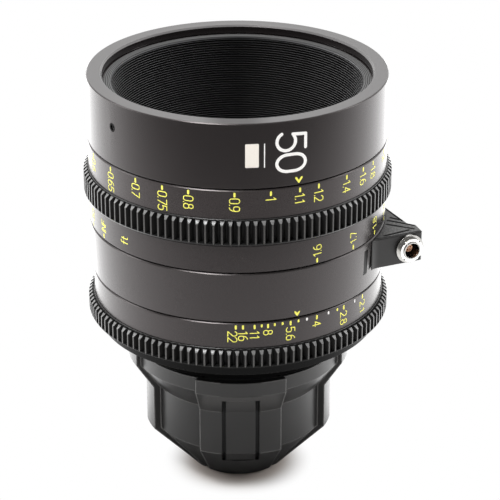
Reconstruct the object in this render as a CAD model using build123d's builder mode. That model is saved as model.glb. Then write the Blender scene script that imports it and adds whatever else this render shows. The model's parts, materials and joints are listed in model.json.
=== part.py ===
from build123d import *
from math import asin, atan2, cos, degrees, hypot, pi, radians, sin, tan
import os

os.makedirs("parts", exist_ok=True)

# A cinema prime lens standing on its rear cap, front up.
# The optical axis is Z, the flat bottom of the cap is at zero height, and the
# side that carries the focal length number faces -Y.  All lengths are in millimetres.

# Heights along the axis, from the cap's base to the front face
cap_base_height = 17.1        # sloping bottom of the rear cap
cap_grip_height = 15.5        # upright part of the cap's grip
cap_taper_height = 8.7        # slope from the grip out to the cap's mouth band
cap_mouth_height = 4.9        # band round the cap's mouth
neck_height = 2.8             # rear barrel above the cap's mouth
rear_barrel_height = 8.3
iris_ring_height = 15.7
middle_height = 16.65
focus_ring_height = 27.85
front_height = 21.0

# Outer radii of the barrel
front_radius = 47.5           # the 95 mm front of a cine lens
middle_draw = 0.6             # the middle barrel narrows a little towards the iris ring
iris_step = 0.7               # how far each lies inside the front barrel's face
rear_step = 2.1
rear_slope_width = 6.8

# Clearances and small general sizes
ring_gap = 0.3                # shadow line at each end of a ring that turns
running_clearance = 0.05      # radial, between a ring and what it turns on
seat_clearance = 0.03         # radial, between pieces that are screwed together
edge_break = 0.35             # small chamfer on turned edges
overrun = 1.0                 # how far a cutting shape passes the face that it cuts

# Follow focus gears
gear_module = 0.8
focus_gear_proud = 1.7        # how far the teeth stand out from the front barrel's face
iris_gear_proud = 2.0         # and from the iris ring's
pressure_angle = 20
focus_gear_foot = 10.7        # above the bottom of the focus ring
focus_gear_height = 7.1
iris_gear_foot = 1.3          # above the bottom of the iris ring
iris_gear_height = 5.1
focus_shoulder_height = 1.5   # rounded shoulder under the teeth
iris_shoulder_height = 1.0
shoulder_round = 0.4
gear_land_height = 0.45       # plain band above the teeth
gear_seat_depth = 1.4         # the gear bands sit in the rings this deep
tooth_chamfer = 0.55

# Walls of the barrel
ring_wall = 3.6               # from the front barrel's face in to the inner sleeve
sleeve_wall = 2.0
sleeve_lap = 5.5              # how far the sleeve reaches into the front barrel
washer_width = 1.3
washer_thickness = 0.7

# Front opening
rim_width = 5.0               # leaves the plain wall of the M86 filter thread
filter_depth = 3.0
rim_bevel = 0.6
thread_relief_height = 0.4    # groove at the foot of the thread
thread_relief_depth = 0.6
thread_step = 0.55            # from the thread in to the seat of the light baffle
ledge_width = 2.7             # from the thread in to the mouth of the ribbed funnel
baffle_draw = 6.4             # how far the funnel narrows to its foot
baffle_foot_width = 3.6
baffle_height = 32.0
baffle_flange_height = 2.0
baffle_gap = 0.3
baffle_room = 0.5             # between its wall and the inner sleeve
rib_pitch = 0.75
rib_depth = 0.45
rib_start = 1.0               # plain lip above the first rib

# Grub screws in the front barrel
front_grub_radius = 0.9
front_grub_length = 2.6
front_grub_drop = 8.4         # below the front face
front_grub_angles = (-142.7, 37.3)
grub_hex_share = 0.5
grub_recess = 0.45

# Small plate beside the focal length number
badge_width = 4.1
badge_height = 7.6
badge_thickness = 0.35
badge_sink = 0.06             # its flat face lies just inside the round barrel
badge_drop = 10.2
badge_angle = -84.5

# Focus drive
focus_back_turn = 112.5       # from the 1.1 m mark to infinity
focus_near_turn = 135.0       # from the 1.1 m mark to 0.5 m
key_width = 6.0
key_height = 4.5
key_foot = 1.9                # above the bottom of the focus ring
key_angle = 100.0
key_pocket_depth = 1.7
slot_clearance = 0.5
turn_margin = 1.5             # degrees of slot past each end of a turn
helicoid_gap = 0.2            # between the helicoid ring and the sleeve
helicoid_wall = 2.6
helicoid_height = 12.5
helicoid_foot = -1.2          # from the bottom of the focus ring

# Focus cell and its glass
cell_height = 18.0
cell_top_drop = 3.9           # below the foot of the light baffle, at the 1.1 m mark
cell_wall = 2.4
cell_web = 3.0
cell_rim = 0.8
focus_travel_per_degree = 5.5 / 247.5
cell_web_width = 9.05         # from the cell's outside in to its glass
cell_seat_width = 2.5
cell_floor = 1.3
front_glass_edge = 3.6
front_glass_front_sag = 2.2
front_glass_rear_sag = 0.8
second_glass_edge = 2.8
second_glass_front_sag = 1.0
second_glass_rear_sag = -1.6
spacer_height = 2.2
spacer_width = 1.8
retaining_height = 2.0
retaining_width = 2.2
retaining_notch = 1.6
glass_rim = 2.8               # flat rim of an element, where its rings bear
guide_key_width = 4.0
guide_key_depth = 1.6
guide_key_angles = (20.0, 200.0)
guide_key_top_clearance = 1.0

# Iris
blade_count = 8
aperture_radius = 13.0
blade_width = 5.0
blade_pivot_step = 1.0        # from a blade's outer edge out to its pivot
blade_thickness = 0.18
blade_pitch = 0.42            # from one blade to the next along the axis
blade_span = 123.0            # degrees of arc that a blade covers
blade_lead = 5.0              # degrees of arc behind its pivot
blade_lever = 7.0
blade_lever_angle = -80.0     # of the lever when wide open, from the radius
blade_boss_radius = 1.5
blade_arm_half_width = 1.0
blade_pin_radius = 0.5
blade_pin_depth = 1.4
blade_swing = 36.0            # from wide open to T22
iris_open_turn = 34.5         # from T5.6 to T2.1
iris_close_turn = 23.5        # from T5.6 to T22
first_pivot_angle = 10.0
cam_thickness = 3.0
cam_inner_step = 0.6          # from the pivots out to the cam ring's bore
cam_width = 8.9
cam_slot_clearance = 0.07
cam_slot_points = 9
cam_foot = 2.2                # above the top of the rear barrel
stack_clearance = 0.25        # between the cam ring, the blades and the base plate
base_plate_thickness = 1.7
iris_wall = 2.0
web_thickness = 2.0
web_lip = 2.2                 # inside the base plate's screws
cam_stop_height = 1.2
cam_stop_width = 7.0
drive_screw_radius = 0.9
drive_screw_angle = 90.0
drive_screw_grip = 2.3        # how far it reaches into the cam ring
base_screw_radius = 0.8
base_screw_head_radius = 1.4
base_screw_head = 0.8
base_screw_length = 3.0
base_screw_inset = 2.3        # from the cam ring's outside in to the base plate's screws
base_screw_count = 4
iris_screw_radius = 0.8
iris_screw_length = 4.4
iris_screw_angles = (60.0, 180.0, 300.0)

# Rear barrel, rear cell and its glass
rear_cylinder_height = 3.2
rear_foot_height = 2.0
rear_cell_room = 1.0          # round the rear cell's flange
rear_floor = 3.2
sleeve_ledge = 2.7            # how far the sleeve reaches into the rear barrel
rear_grub_drop = 1.4
rear_grub_radius = 0.7
rear_grub_length = 2.2
rear_grub_angles = (8.0, 188.0)
rear_cell_gap = 0.4           # inside the mount tube
rear_cell_lip = 2.7           # flange outside its screws
rear_cell_flange = 2.0
rear_cell_bottom = 6.0        # above the end of the mount tube
rear_cell_wall = 4.7
rear_glass_step = 4.0         # the front one of the two is smaller by this
rear_glass_edge = 4.2
rear_glass_front_sag = 2.4
rear_glass_rear_sag = 1.5
rear_front_glass_edge = 3.0
rear_front_glass_front_sag = -1.8
rear_front_glass_rear_sag = 1.6
rear_seat_width = 1.8
rear_ring_height = 1.8
rear_ring_width = 2.6
rear_cell_screw_count = 4
rear_cell_screw_length = 4.2
rear_cell_screw_turn = 22.5   # between the mount screws

# Lens mount with four lugs
mount_tube_radius = 27.0      # the 54 mm register of the mount
mount_tube_wall = 1.9
mount_neck_step = 4.2         # outside the tube
mount_lug_step = 2.8          # outside the neck
mount_flange_thickness = 4.0
mount_lug_half_angle = 21.0
mount_pin_slot = 5.0          # notch for the camera's locating pin
mount_pin_slot_depth = 2.2
mount_clock = 1.8             # degrees that the lugs and the cap stand turned
mount_tube_length = 23.3      # behind the flange
shim_thickness = 0.3
mount_screw_step = 2.1        # outside the tube
mount_screw_radius = 0.8
mount_screw_head_radius = 1.45
mount_screw_head = 0.9
mount_screw_length = 9.5
mount_screw_count = 8

# Connector housing
housing_foot = 5.9            # above the bottom of the middle barrel
housing_height = 10.0
housing_face_turn = 23.7      # the front face turns this far from the X direction
housing_face_length = 19.4
housing_root_sink = 1.2       # its root starts inside the barrel's face
housing_root_angle = -27.67
housing_end_turn = 109.0
housing_end_length = 5.2
housing_back_length = 2.9
housing_back_turn = 154.0
housing_tail_angle = 9.5
housing_blend_radius = 5.5
housing_edge = 0.8
housing_wall = 1.6
housing_cover_thickness = 1.0
engraving_width = 0.45
engraving_depth = 0.4
# engraved lines: how far each end lies back along the front face and in from it, as
# shares of that face's length
engraved_line_shares = (
    ((0.135, 1.061), (0.112, 0.511)),
    ((0.233, 0.682), (0.149, 0.567)),
    ((0.326, 0.599), (0.033, 0.268)),
    ((0.407, 0.466), (0.103, 0.147)),
    ((0.651, 0.078), (0.196, 0.126)),
)
cover_run_share = 0.62        # of the front face's root, where the cover starts
# screws in the cover: shares of the way from its first corner to its second, third and fourth
cover_screw_shares = ((0.34, 0.0, 0.1), (0.15, 0.55, 0.0))
housing_screw_radius = 0.6
housing_screw_head_radius = 0.9
housing_screw_head = 0.5
housing_screw_length = 1.9
inlay_width = 2.3
inlay_height = 8.4
inlay_thickness = 0.5
inlay_sink = 0.15
inlay_angle = -31.6

# Data socket
socket_from_face_end = 4.85
socket_bore_radius = 2.5
socket_flange_radius = 4.7
socket_flange_thickness = 0.9
socket_nut_radius = 3.9
socket_nut_height = 1.3
socket_barrel_radius = 2.9
socket_depth = 5.6
socket_insulator_depth = 1.2
socket_post_radius = 1.25
socket_post_height = 4.6
socket_key_width = 0.7
pin_count = 4
pin_radius = 0.22
pin_circle = 0.66
pin_drop = 0.6                # the contacts end below the face of the post
board_thickness = 0.8

# Rear cap
cap_lobes = 4
cap_mouth_wall = 2.5          # outside the mount's lugs
cap_valley_wall = 3.7         # outside the mount's neck, between the lobes
cap_grip_wall = 4.0           # outside the mount's tube
cap_grip_valley_wall = 1.6
cap_foot_radius = 14.4
cap_foot_edge_height = 1.2    # the blunt edge round the foot
cap_foot_edge_width = 1.7
cap_foot_valley_step = 0.8
cap_mouth_half_angle = 23.4
cap_grip_half_angle = 25.3
cap_foot_half_angle = 38.5
cap_clearance = 0.3
cap_floor = 2.2
cap_foot_wall = 1.9
cap_shoulder_gap = 0.05       # between the cap's inner shoulder and the mount flange
cap_groove_width = 0.9
cap_groove_depth = 1.5
cap_groove_offset = 5.4
cap_panel_depth = 0.5         # the flat between the grooves of a lobe
cap_recess_foot = 12.0
cap_recess_height = 26.8
cap_recess_lean = 1.4         # how far the flat leans out up to its top

# Heights worked out from the sizes above
cap_taper_foot = cap_base_height + cap_grip_height
cap_mouth_foot = cap_taper_foot + cap_taper_height
cap_top = cap_mouth_foot + cap_mouth_height
rear_foot_z = cap_top + neck_height
rear_top_z = rear_foot_z + rear_barrel_height
iris_top_z = rear_top_z + iris_ring_height
middle_top_z = iris_top_z + middle_height
focus_top_z = middle_top_z + focus_ring_height
front_z = focus_top_z + front_height

# Radii worked out from the front barrel inwards
middle_foot_radius = front_radius - middle_draw
iris_radius = front_radius - iris_step
rear_top_radius = front_radius - rear_step
rear_foot_radius = rear_top_radius - rear_slope_width
focus_teeth = round(2 * (front_radius + focus_gear_proud) / gear_module) - 2
iris_teeth = round(2 * (iris_radius + iris_gear_proud) / gear_module) - 2
sleeve_radius = front_radius - ring_wall
sleeve_bore_radius = sleeve_radius - sleeve_wall
ring_bore_radius = sleeve_radius + running_clearance
filter_bore_radius = front_radius - rim_width
baffle_flange_radius = filter_bore_radius - thread_step
baffle_mouth_radius = filter_bore_radius - ledge_width
baffle_foot_radius = baffle_mouth_radius - baffle_draw
baffle_wall_radius = sleeve_bore_radius - baffle_room
helicoid_outer_radius = sleeve_bore_radius - helicoid_gap
helicoid_bore_radius = helicoid_outer_radius - helicoid_wall
cell_radius = helicoid_bore_radius - running_clearance
cell_bore_radius = cell_radius - cell_web_width
cell_seat_radius = cell_bore_radius - cell_seat_width

# Radii of the iris, from the open aperture outwards
blade_outer_radius = aperture_radius + blade_width
blade_pivot_radius = blade_outer_radius + blade_pivot_step
cam_inner_radius = blade_pivot_radius + cam_inner_step
cam_radius = cam_inner_radius + cam_width
base_screw_circle = cam_radius - base_screw_inset
web_bore_radius = base_screw_circle - web_lip

# Radii of the mount, the rear cell and the cap, from the mount's tube
mount_bore_radius = mount_tube_radius - mount_tube_wall
mount_neck_radius = mount_tube_radius + mount_neck_step
mount_lug_radius = mount_neck_radius + mount_lug_step
mount_screw_circle = mount_tube_radius + mount_screw_step
rear_cell_radius = mount_bore_radius - rear_cell_gap
rear_cell_flange_radius = mount_screw_circle + rear_cell_lip
rear_bore_radius = rear_cell_flange_radius + rear_cell_room
rear_glass_radius = rear_cell_radius - rear_cell_wall
rear_front_glass_radius = rear_glass_radius - rear_glass_step
cap_mouth_radius = mount_lug_radius + cap_mouth_wall
cap_mouth_valley_radius = mount_neck_radius + cap_valley_wall
cap_grip_radius = mount_tube_radius + cap_grip_wall
cap_grip_valley_radius = mount_tube_radius + cap_grip_valley_wall
cap_foot_valley_radius = cap_foot_radius - cap_foot_valley_step
cap_foot_edge_radius = cap_foot_radius + cap_foot_edge_width
cap_foot_edge_valley_radius = cap_foot_edge_radius - cap_foot_valley_step
cap_inner_foot_radius = cap_foot_valley_radius - cap_foot_wall
cap_slope_rate = (cap_grip_radius - cap_foot_edge_radius) / (cap_base_height - cap_foot_edge_height)
cap_recess_foot_radius = cap_foot_edge_radius + cap_slope_rate * (cap_recess_foot - cap_foot_edge_height)

# Turns worked out from the marks
swing_ratio = blade_swing / (iris_open_turn + iris_close_turn)
blade_rest_swing = swing_ratio * iris_open_turn


def meridian(angle):
    """The upright half plane through the axis at an angle from +X; its x is the radius."""
    turn = radians(angle)
    return Plane(origin=(0, 0, 0), x_dir=(cos(turn), sin(turn), 0), z_dir=(sin(turn), -cos(turn), 0))


def outward(angle, radius, height):
    """A plane square to the radius; its z points away from the axis, its y up."""
    turn = radians(angle)
    return Plane(
        origin=(radius * cos(turn), radius * sin(turn), height),
        x_dir=(-sin(turn), cos(turn), 0),
        z_dir=(cos(turn), sin(turn), 0),
    )


def tube(outer, inner, low, high, mode=Mode.ADD):
    """A plain tube between two heights, in the sub-part that is open."""
    with BuildSketch(Plane.XY.offset(low)) as ring:
        Circle(outer)
        Circle(inner, mode=Mode.SUBTRACT)
    extrude(ring.sketch, amount=high - low, mode=mode)


def turned(points, mode=Mode.ADD):
    """A turned shape from an outline of (radius, height) points."""
    with BuildSketch(Plane.XZ) as profile:
        with BuildLine():
            Polyline(*points, close=True)
        make_face()
    revolve(profile.sketch, axis=Axis.Z, mode=mode)


def arc_slot(inner, outer, low, high, start, sweep):
    """Cut a slot that runs round the axis from one angle through another."""
    with BuildSketch(meridian(start)) as section:
        with BuildLine():
            Polyline((inner, low), (outer, low), (outer, high), (inner, high), close=True)
        make_face()
    revolve(section.sketch, axis=Axis.Z, revolution_arc=sweep, mode=Mode.SUBTRACT)


def save(piece, name):
    piece.part.label = name
    export_step(piece.part, "parts/" + name + ".step")


# Front barrel: fixed outer tube with the filter thread's wall and the focus index
baffle_top_z = front_z - filter_depth
baffle_foot_z = baffle_top_z - baffle_height
with BuildPart() as front_shell:
    turned([
        (filter_bore_radius + rim_bevel, front_z),
        (front_radius - edge_break, front_z),
        (front_radius, front_z - edge_break),
        (front_radius, focus_top_z + edge_break),
        (front_radius - edge_break, focus_top_z),
        (sleeve_radius + seat_clearance, focus_top_z),
        (sleeve_radius + seat_clearance, focus_top_z + sleeve_lap),
        (baffle_wall_radius + baffle_gap, focus_top_z + sleeve_lap),
        (baffle_wall_radius + baffle_gap, baffle_top_z - baffle_flange_height),
        (baffle_flange_radius + seat_clearance, baffle_top_z - baffle_flange_height),
        (baffle_flange_radius + seat_clearance, baffle_top_z),
        (filter_bore_radius + thread_relief_depth, baffle_top_z),
        (filter_bore_radius + thread_relief_depth, baffle_top_z + thread_relief_height),
        (filter_bore_radius, baffle_top_z + thread_relief_height),
        (filter_bore_radius, front_z - rim_bevel),
    ])
    for angle in front_grub_angles:
        with BuildSketch(outward(angle, front_radius + overrun, front_z - front_grub_drop)):
            Circle(front_grub_radius)
        extrude(amount=-(front_grub_length + grub_recess + overrun), mode=Mode.SUBTRACT)
    with BuildSketch(outward(badge_angle, front_radius + overrun, front_z - badge_drop)):
        RectangleRounded(badge_width, badge_height, edge_break)
    extrude(amount=-(badge_thickness + badge_sink + overrun), mode=Mode.SUBTRACT)
save(front_shell, "front_shell")

# Two grub screws, opposite each other, lock the light baffle through the front barrel
with BuildPart() as front_grub_screws:
    for angle in front_grub_angles:
        face = outward(angle, front_radius - grub_recess, front_z - front_grub_drop)
        with BuildSketch(face):
            Circle(front_grub_radius)
            RegularPolygon(front_grub_radius * grub_hex_share, 6, mode=Mode.SUBTRACT)
        extrude(amount=-front_grub_length / 2)
        with BuildSketch(face.offset(-front_grub_length / 2)):
            Circle(front_grub_radius)
        extrude(amount=-front_grub_length / 2)
save(front_grub_screws, "front_grub_screws")

# Small plate let into the front barrel, left plain
with BuildPart() as badge_plate:
    with BuildSketch(outward(badge_angle, front_radius - badge_sink, front_z - badge_drop)):
        RectangleRounded(badge_width, badge_height, edge_break)
    extrude(amount=-badge_thickness)
save(badge_plate, "badge_plate")

# Light baffle: ribbed funnel in front of the glass, with the grey ledge at its top
rib_count = int((baffle_height - rib_start - baffle_foot_width / 2) / rib_pitch)
baffle_slope = (baffle_mouth_radius - baffle_foot_radius) / baffle_height
rib_points = []
for rib in range(rib_count):
    rib_z = baffle_top_z - rib_start - rib * rib_pitch
    rib_radius = baffle_mouth_radius - baffle_slope * (baffle_top_z - rib_z)
    rib_points.append((rib_radius, rib_z))
    rib_points.append((rib_radius + rib_depth, rib_z - rib_pitch / 2))
rib_end_z = baffle_top_z - rib_start - rib_count * rib_pitch
with BuildPart() as light_baffle:
    turned([
        (baffle_mouth_radius, baffle_top_z),
        *rib_points,
        (baffle_mouth_radius - baffle_slope * (baffle_top_z - rib_end_z), rib_end_z),
        (baffle_foot_radius, baffle_foot_z),
        (baffle_foot_radius + baffle_foot_width, baffle_foot_z),
        (baffle_wall_radius, baffle_foot_z + baffle_foot_width),
        (baffle_wall_radius, baffle_top_z - baffle_flange_height),
        (baffle_flange_radius, baffle_top_z - baffle_flange_height),
        (baffle_flange_radius, baffle_top_z),
    ])
save(light_baffle, "light_baffle")

# Inner sleeve: the fixed tube that everything is built on, slotted for the two drives
focus_slot_low = middle_top_z + key_foot - slot_clearance
focus_slot_high = focus_slot_low + key_height + 2 * slot_clearance
key_half_angle = degrees(asin(key_width / 2 / sleeve_bore_radius))
focus_slot_start = key_angle - focus_back_turn - key_half_angle - turn_margin
focus_slot_sweep = focus_back_turn + focus_near_turn + 2 * (key_half_angle + turn_margin)
cam_foot_z = rear_top_z + cam_foot
cam_top_z = cam_foot_z + cam_thickness
drive_z = cam_foot_z + cam_thickness / 2
drive_half_angle = degrees(asin(drive_screw_radius / cam_radius))
drive_slot_start = drive_screw_angle - iris_open_turn - drive_half_angle - turn_margin
drive_slot_sweep = iris_open_turn + iris_close_turn + 2 * (drive_half_angle + turn_margin)
drive_slot_half_height = drive_screw_radius + slot_clearance
# Iris heights, from the cam ring up to the web that carries the base plate
blade_foot_z = cam_top_z + stack_clearance
blade_top_z = blade_foot_z + blade_pitch * (blade_count - 1) + blade_thickness
base_plate_z = blade_top_z + stack_clearance
web_z = base_plate_z + base_plate_thickness
web_top_z = web_z + web_thickness
iris_bore_radius = cam_radius + running_clearance
iris_housing_foot_z = cam_foot_z - cam_stop_height - running_clearance
iris_screw_z = (web_z + web_top_z) / 2
with BuildPart() as inner_sleeve:
    tube(sleeve_radius, sleeve_bore_radius, rear_top_z - sleeve_ledge, focus_top_z + sleeve_lap)
    arc_slot(sleeve_bore_radius - overrun, sleeve_radius + overrun, focus_slot_low, focus_slot_high,
             focus_slot_start, focus_slot_sweep)
    arc_slot(sleeve_bore_radius - overrun, sleeve_radius + overrun, drive_z - drive_slot_half_height,
             drive_z + drive_slot_half_height, drive_slot_start, drive_slot_sweep)
    for angle in rear_grub_angles:
        with BuildSketch(outward(angle, sleeve_radius + overrun, rear_top_z - rear_grub_drop)):
            Circle(rear_grub_radius)
        extrude(amount=-(sleeve_wall + overrun), mode=Mode.SUBTRACT)
    for angle in iris_screw_angles:
        with BuildSketch(outward(angle, sleeve_radius + overrun, iris_screw_z)):
            Circle(iris_screw_radius)
        extrude(amount=-(sleeve_wall + 2 * overrun), mode=Mode.SUBTRACT)
save(inner_sleeve, "inner_sleeve")

# Two slippery washers that the focus ring turns between
with BuildPart() as thrust_washers:
    tube(ring_bore_radius + washer_width, ring_bore_radius, focus_top_z - washer_thickness, focus_top_z)
    tube(ring_bore_radius + washer_width, ring_bore_radius, middle_top_z, middle_top_z + washer_thickness)
save(thrust_washers, "thrust_washers")

# Middle barrel: fixed, with the iris index and a seat for the inlay
middle_slope = (front_radius - middle_foot_radius) / middle_height
housing_foot_z = iris_top_z + housing_foot
housing_top_z = housing_foot_z + housing_height
inlay_z = housing_foot_z + housing_height / 2 - (housing_height - inlay_height) / 2
inlay_face_radius = front_radius - middle_slope * (middle_top_z - inlay_z) - inlay_sink
with BuildPart() as mid_shell:
    turned([
        (sleeve_radius + seat_clearance, iris_top_z),
        (middle_foot_radius - edge_break, iris_top_z),
        (middle_foot_radius, iris_top_z + edge_break),
        (front_radius - middle_slope * edge_break, middle_top_z - edge_break),
        (front_radius - edge_break, middle_top_z),
        (sleeve_radius + seat_clearance, middle_top_z),
    ])
    with BuildSketch(outward(inlay_angle, inlay_face_radius + overrun, inlay_z)):
        RectangleRounded(inlay_width, inlay_height, edge_break)
    extrude(amount=-(inlay_thickness + overrun), mode=Mode.SUBTRACT)
save(mid_shell, "mid_shell")

# Dark strip let into the middle barrel beside the connector, left plain
with BuildPart() as inlay_strip:
    with BuildSketch(outward(inlay_angle, inlay_face_radius, inlay_z)):
        RectangleRounded(inlay_width, inlay_height, edge_break)
    extrude(amount=-inlay_thickness)
save(inlay_strip, "inlay_strip")

# Connector housing: wedge-shaped block on the middle barrel; its plan is worked out from
# the run of its front face, its short end and the slope back to the barrel
face_turn = radians(housing_face_turn)
end_turn = radians(housing_end_turn)
back_turn = radians(housing_back_turn)
root_turn = radians(housing_root_angle)
housing_face_start = (
    (front_radius - housing_root_sink) * cos(root_turn),
    (front_radius - housing_root_sink) * sin(root_turn),
)
face_end = (
    housing_face_start[0] + housing_face_length * cos(face_turn),
    housing_face_start[1] + housing_face_length * sin(face_turn),
)
end_corner = (
    face_end[0] + housing_end_length * cos(end_turn),
    face_end[1] + housing_end_length * sin(end_turn),
)
back_corner = (
    end_corner[0] + housing_back_length * cos(back_turn),
    end_corner[1] + housing_back_length * sin(back_turn),
)
tail = (front_radius * cos(radians(housing_tail_angle)), front_radius * sin(radians(housing_tail_angle)))
face_direction = (cos(face_turn), sin(face_turn), 0)
face_normal = (sin(face_turn), -cos(face_turn), 0)
socket_run = housing_face_length - socket_from_face_end
socket_centre = (
    housing_face_start[0] + socket_run * cos(face_turn),
    housing_face_start[1] + socket_run * sin(face_turn),
    housing_foot_z + housing_height / 2,
)
socket_plane = Plane(origin=socket_centre, x_dir=face_direction, z_dir=face_normal)
cover_points = (
    (front_radius + housing_wall, housing_face_start[1] * cover_run_share),
    (end_corner[0] - 2 * housing_wall, (face_end[1] + end_corner[1]) / 2),
    (back_corner[0] - 2 * housing_wall, back_corner[1] + 2 * housing_wall),
    (front_radius + housing_wall, 0),
)


def cover_point(long_share, end_share, back_share):
    """A point of the cover, from shares of the way from its first corner to the others."""
    shares = (long_share, end_share, back_share)
    return tuple(
        cover_points[0][axis]
        + sum(share * (cover_points[corner + 1][axis] - cover_points[0][axis])
              for corner, share in enumerate(shares))
        for axis in range(2)
    )


screw_points = [cover_point(*shares) for shares in cover_screw_shares]


def engraved_point(share):
    """A point of the housing's top, from its share back along the front face and in from it."""
    back = share[0] * housing_face_length
    inward = share[1] * housing_face_length
    return (
        face_end[0] - back * cos(face_turn) - inward * sin(face_turn),
        face_end[1] - back * sin(face_turn) + inward * cos(face_turn),
    )


with BuildPart() as connector_housing:
    with BuildSketch(Plane.XY.offset(housing_foot_z)) as housing_plan:
        Circle(front_radius)
        with BuildLine():
            Polyline((0, 0), housing_face_start, face_end, end_corner, back_corner, tail, close=True)
        make_face()
        root = housing_plan.vertices().sort_by_distance((*housing_face_start, housing_foot_z))[0]
        fillet(root, housing_blend_radius)
    extrude(amount=housing_height)
    with BuildSketch(Plane.XY.offset(housing_foot_z - overrun)):
        Circle(front_radius + seat_clearance)
    extrude(amount=housing_height + 2 * overrun, mode=Mode.SUBTRACT)
    outer_edges = connector_housing.edges().filter_by(Axis.Z).filter_by(
        lambda edge: hypot(edge.center().X, edge.center().Y) > front_radius + housing_end_length)
    fillet(outer_edges, housing_edge)
    top_edges = connector_housing.faces().sort_by(Axis.Z)[-1].edges().filter_by(
        lambda edge: hypot(edge.center().X, edge.center().Y) > front_radius + edge_break)
    chamfer(top_edges, edge_break)
    # shallow lines engraved in the top face
    with BuildSketch(Plane.XY.offset(housing_top_z - engraving_depth)):
        for first_share, second_share in engraved_line_shares:
            first = engraved_point(first_share)
            second = engraved_point(second_share)
            run = hypot(second[0] - first[0], second[1] - first[1])
            tilt = degrees(atan2(second[1] - first[1], second[0] - first[0]))
            middle = ((first[0] + second[0]) / 2, (first[1] + second[1]) / 2)
            with Locations(Location((*middle, 0), (0, 0, tilt))):
                SlotOverall(run, engraving_width)
    extrude(amount=engraving_depth + overrun, mode=Mode.SUBTRACT)
    # hole for the socket, running into the hollow behind it
    with BuildSketch(socket_plane.offset(overrun)):
        Circle(socket_barrel_radius + seat_clearance)
    extrude(amount=-(socket_depth + board_thickness + overrun), mode=Mode.SUBTRACT)
    # recess in the underside for the cover, and its two screw holes
    with BuildSketch(Plane.XY.offset(housing_foot_z)):
        Polygon(*cover_points, align=None)
    extrude(amount=housing_cover_thickness, mode=Mode.SUBTRACT)
    with BuildSketch(Plane.XY.offset(housing_foot_z)):
        with Locations(*screw_points):
            Circle(housing_screw_radius)
    extrude(amount=housing_screw_length, mode=Mode.SUBTRACT)
save(connector_housing, "connector_housing")

# Cover plate in the underside of the housing
with BuildPart() as housing_cover:
    with BuildSketch(Plane.XY.offset(housing_foot_z)):
        Polygon(*cover_points, align=None)
    extrude(amount=housing_cover_thickness)
    with BuildSketch(Plane.XY.offset(housing_foot_z)):
        with Locations(*screw_points):
            Circle(housing_screw_radius)
    extrude(amount=housing_cover_thickness, mode=Mode.SUBTRACT)
    with BuildSketch(Plane.XY.offset(housing_foot_z)):
        with Locations(*screw_points):
            Circle(housing_screw_head_radius)
    extrude(amount=housing_screw_head, mode=Mode.SUBTRACT)
save(housing_cover, "housing_cover")

# Its two screws
with BuildPart() as housing_screws:
    with BuildSketch(Plane.XY.offset(housing_foot_z)):
        with Locations(*screw_points):
            Circle(housing_screw_head_radius)
            RegularPolygon(housing_screw_radius * grub_hex_share, 6, mode=Mode.SUBTRACT)
    extrude(amount=housing_screw_head)
    with BuildSketch(Plane.XY.offset(housing_foot_z + housing_screw_head)):
        with Locations(*screw_points):
            Circle(housing_screw_radius)
    extrude(amount=housing_screw_length - housing_screw_head)
save(housing_screws, "housing_screws")


def toothed_band(teeth, foot, height, inner, shoulder_radius, shoulder_height, land_radius):
    """A geared band: teeth with a chamfered upper end, a shoulder below and a land above."""
    tip = gear_module * (teeth + 2) / 2
    root = gear_module * (teeth - 2.5) / 2
    top = foot + height
    tooth_angle = 360 / teeth
    lean = tan(radians(pressure_angle)) * gear_module
    tip_half = degrees((pi * gear_module / 4 - lean) / tip)
    root_half = degrees((pi * gear_module / 4 + 1.25 * lean) / root)
    points = []
    for tooth in range(teeth):
        centre = tooth * tooth_angle
        for radius, angle in ((root, centre - root_half), (tip, centre - tip_half),
                              (tip, centre + tip_half), (root, centre + root_half)):
            points.append((radius * cos(radians(angle)), radius * sin(radians(angle))))
    with BuildSketch(Plane.XY.offset(foot)) as blank:
        with BuildLine():
            Polyline(*points, close=True)
        make_face()
        Circle(inner, mode=Mode.SUBTRACT)
    extrude(blank.sketch, amount=height)
    turned([
        (inner - overrun, foot),
        (tip + overrun, foot),
        (tip + overrun, top - tooth_chamfer - overrun),
        (tip - tooth_chamfer, top),
        (inner - overrun, top),
    ], mode=Mode.INTERSECT)
    turned([
        (inner, foot - shoulder_height),
        (shoulder_radius, foot - shoulder_height),
        (tip - shoulder_round, foot - shoulder_round - shoulder_round / 2),
        (tip - shoulder_round / 4, foot - shoulder_round / 2),
        (tip, foot),
        (inner, foot),
    ])
    turned([
        (inner, top),
        (land_radius, top),
        (land_radius, top + gear_land_height),
        (inner, top + gear_land_height),
    ])


# Focus ring: turns on the sleeve, carries the metre marks and the geared band
focus_foot_z = middle_top_z + ring_gap
focus_gear_foot_z = middle_top_z + focus_gear_foot
focus_gear_top_z = focus_gear_foot_z + focus_gear_height
focus_land_z = focus_gear_top_z + gear_land_height
focus_seat_radius = front_radius - gear_seat_depth
washer_pocket_radius = ring_bore_radius + washer_width + ring_gap / 2
washer_pocket = washer_thickness + running_clearance
key_foot_z = middle_top_z + key_foot
key_middle_z = key_foot_z + key_height / 2
with BuildPart() as focus_ring:
    turned([
        (washer_pocket_radius, focus_foot_z),
        (focus_seat_radius, focus_foot_z),
        (focus_seat_radius, focus_land_z),
        (front_radius, focus_land_z),
        (front_radius, focus_top_z - ring_gap - edge_break),
        (front_radius - edge_break, focus_top_z - ring_gap),
        (washer_pocket_radius, focus_top_z - ring_gap),
        (washer_pocket_radius, focus_top_z - washer_pocket),
        (ring_bore_radius, focus_top_z - washer_pocket),
        (ring_bore_radius, middle_top_z + washer_pocket),
        (washer_pocket_radius, middle_top_z + washer_pocket),
    ])
    with BuildSketch(outward(key_angle, front_radius, key_middle_z)):
        Rectangle(key_width, key_height)
    extrude(amount=-(front_radius - sleeve_radius + overrun), mode=Mode.SUBTRACT)
save(focus_ring, "focus_ring")

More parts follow.
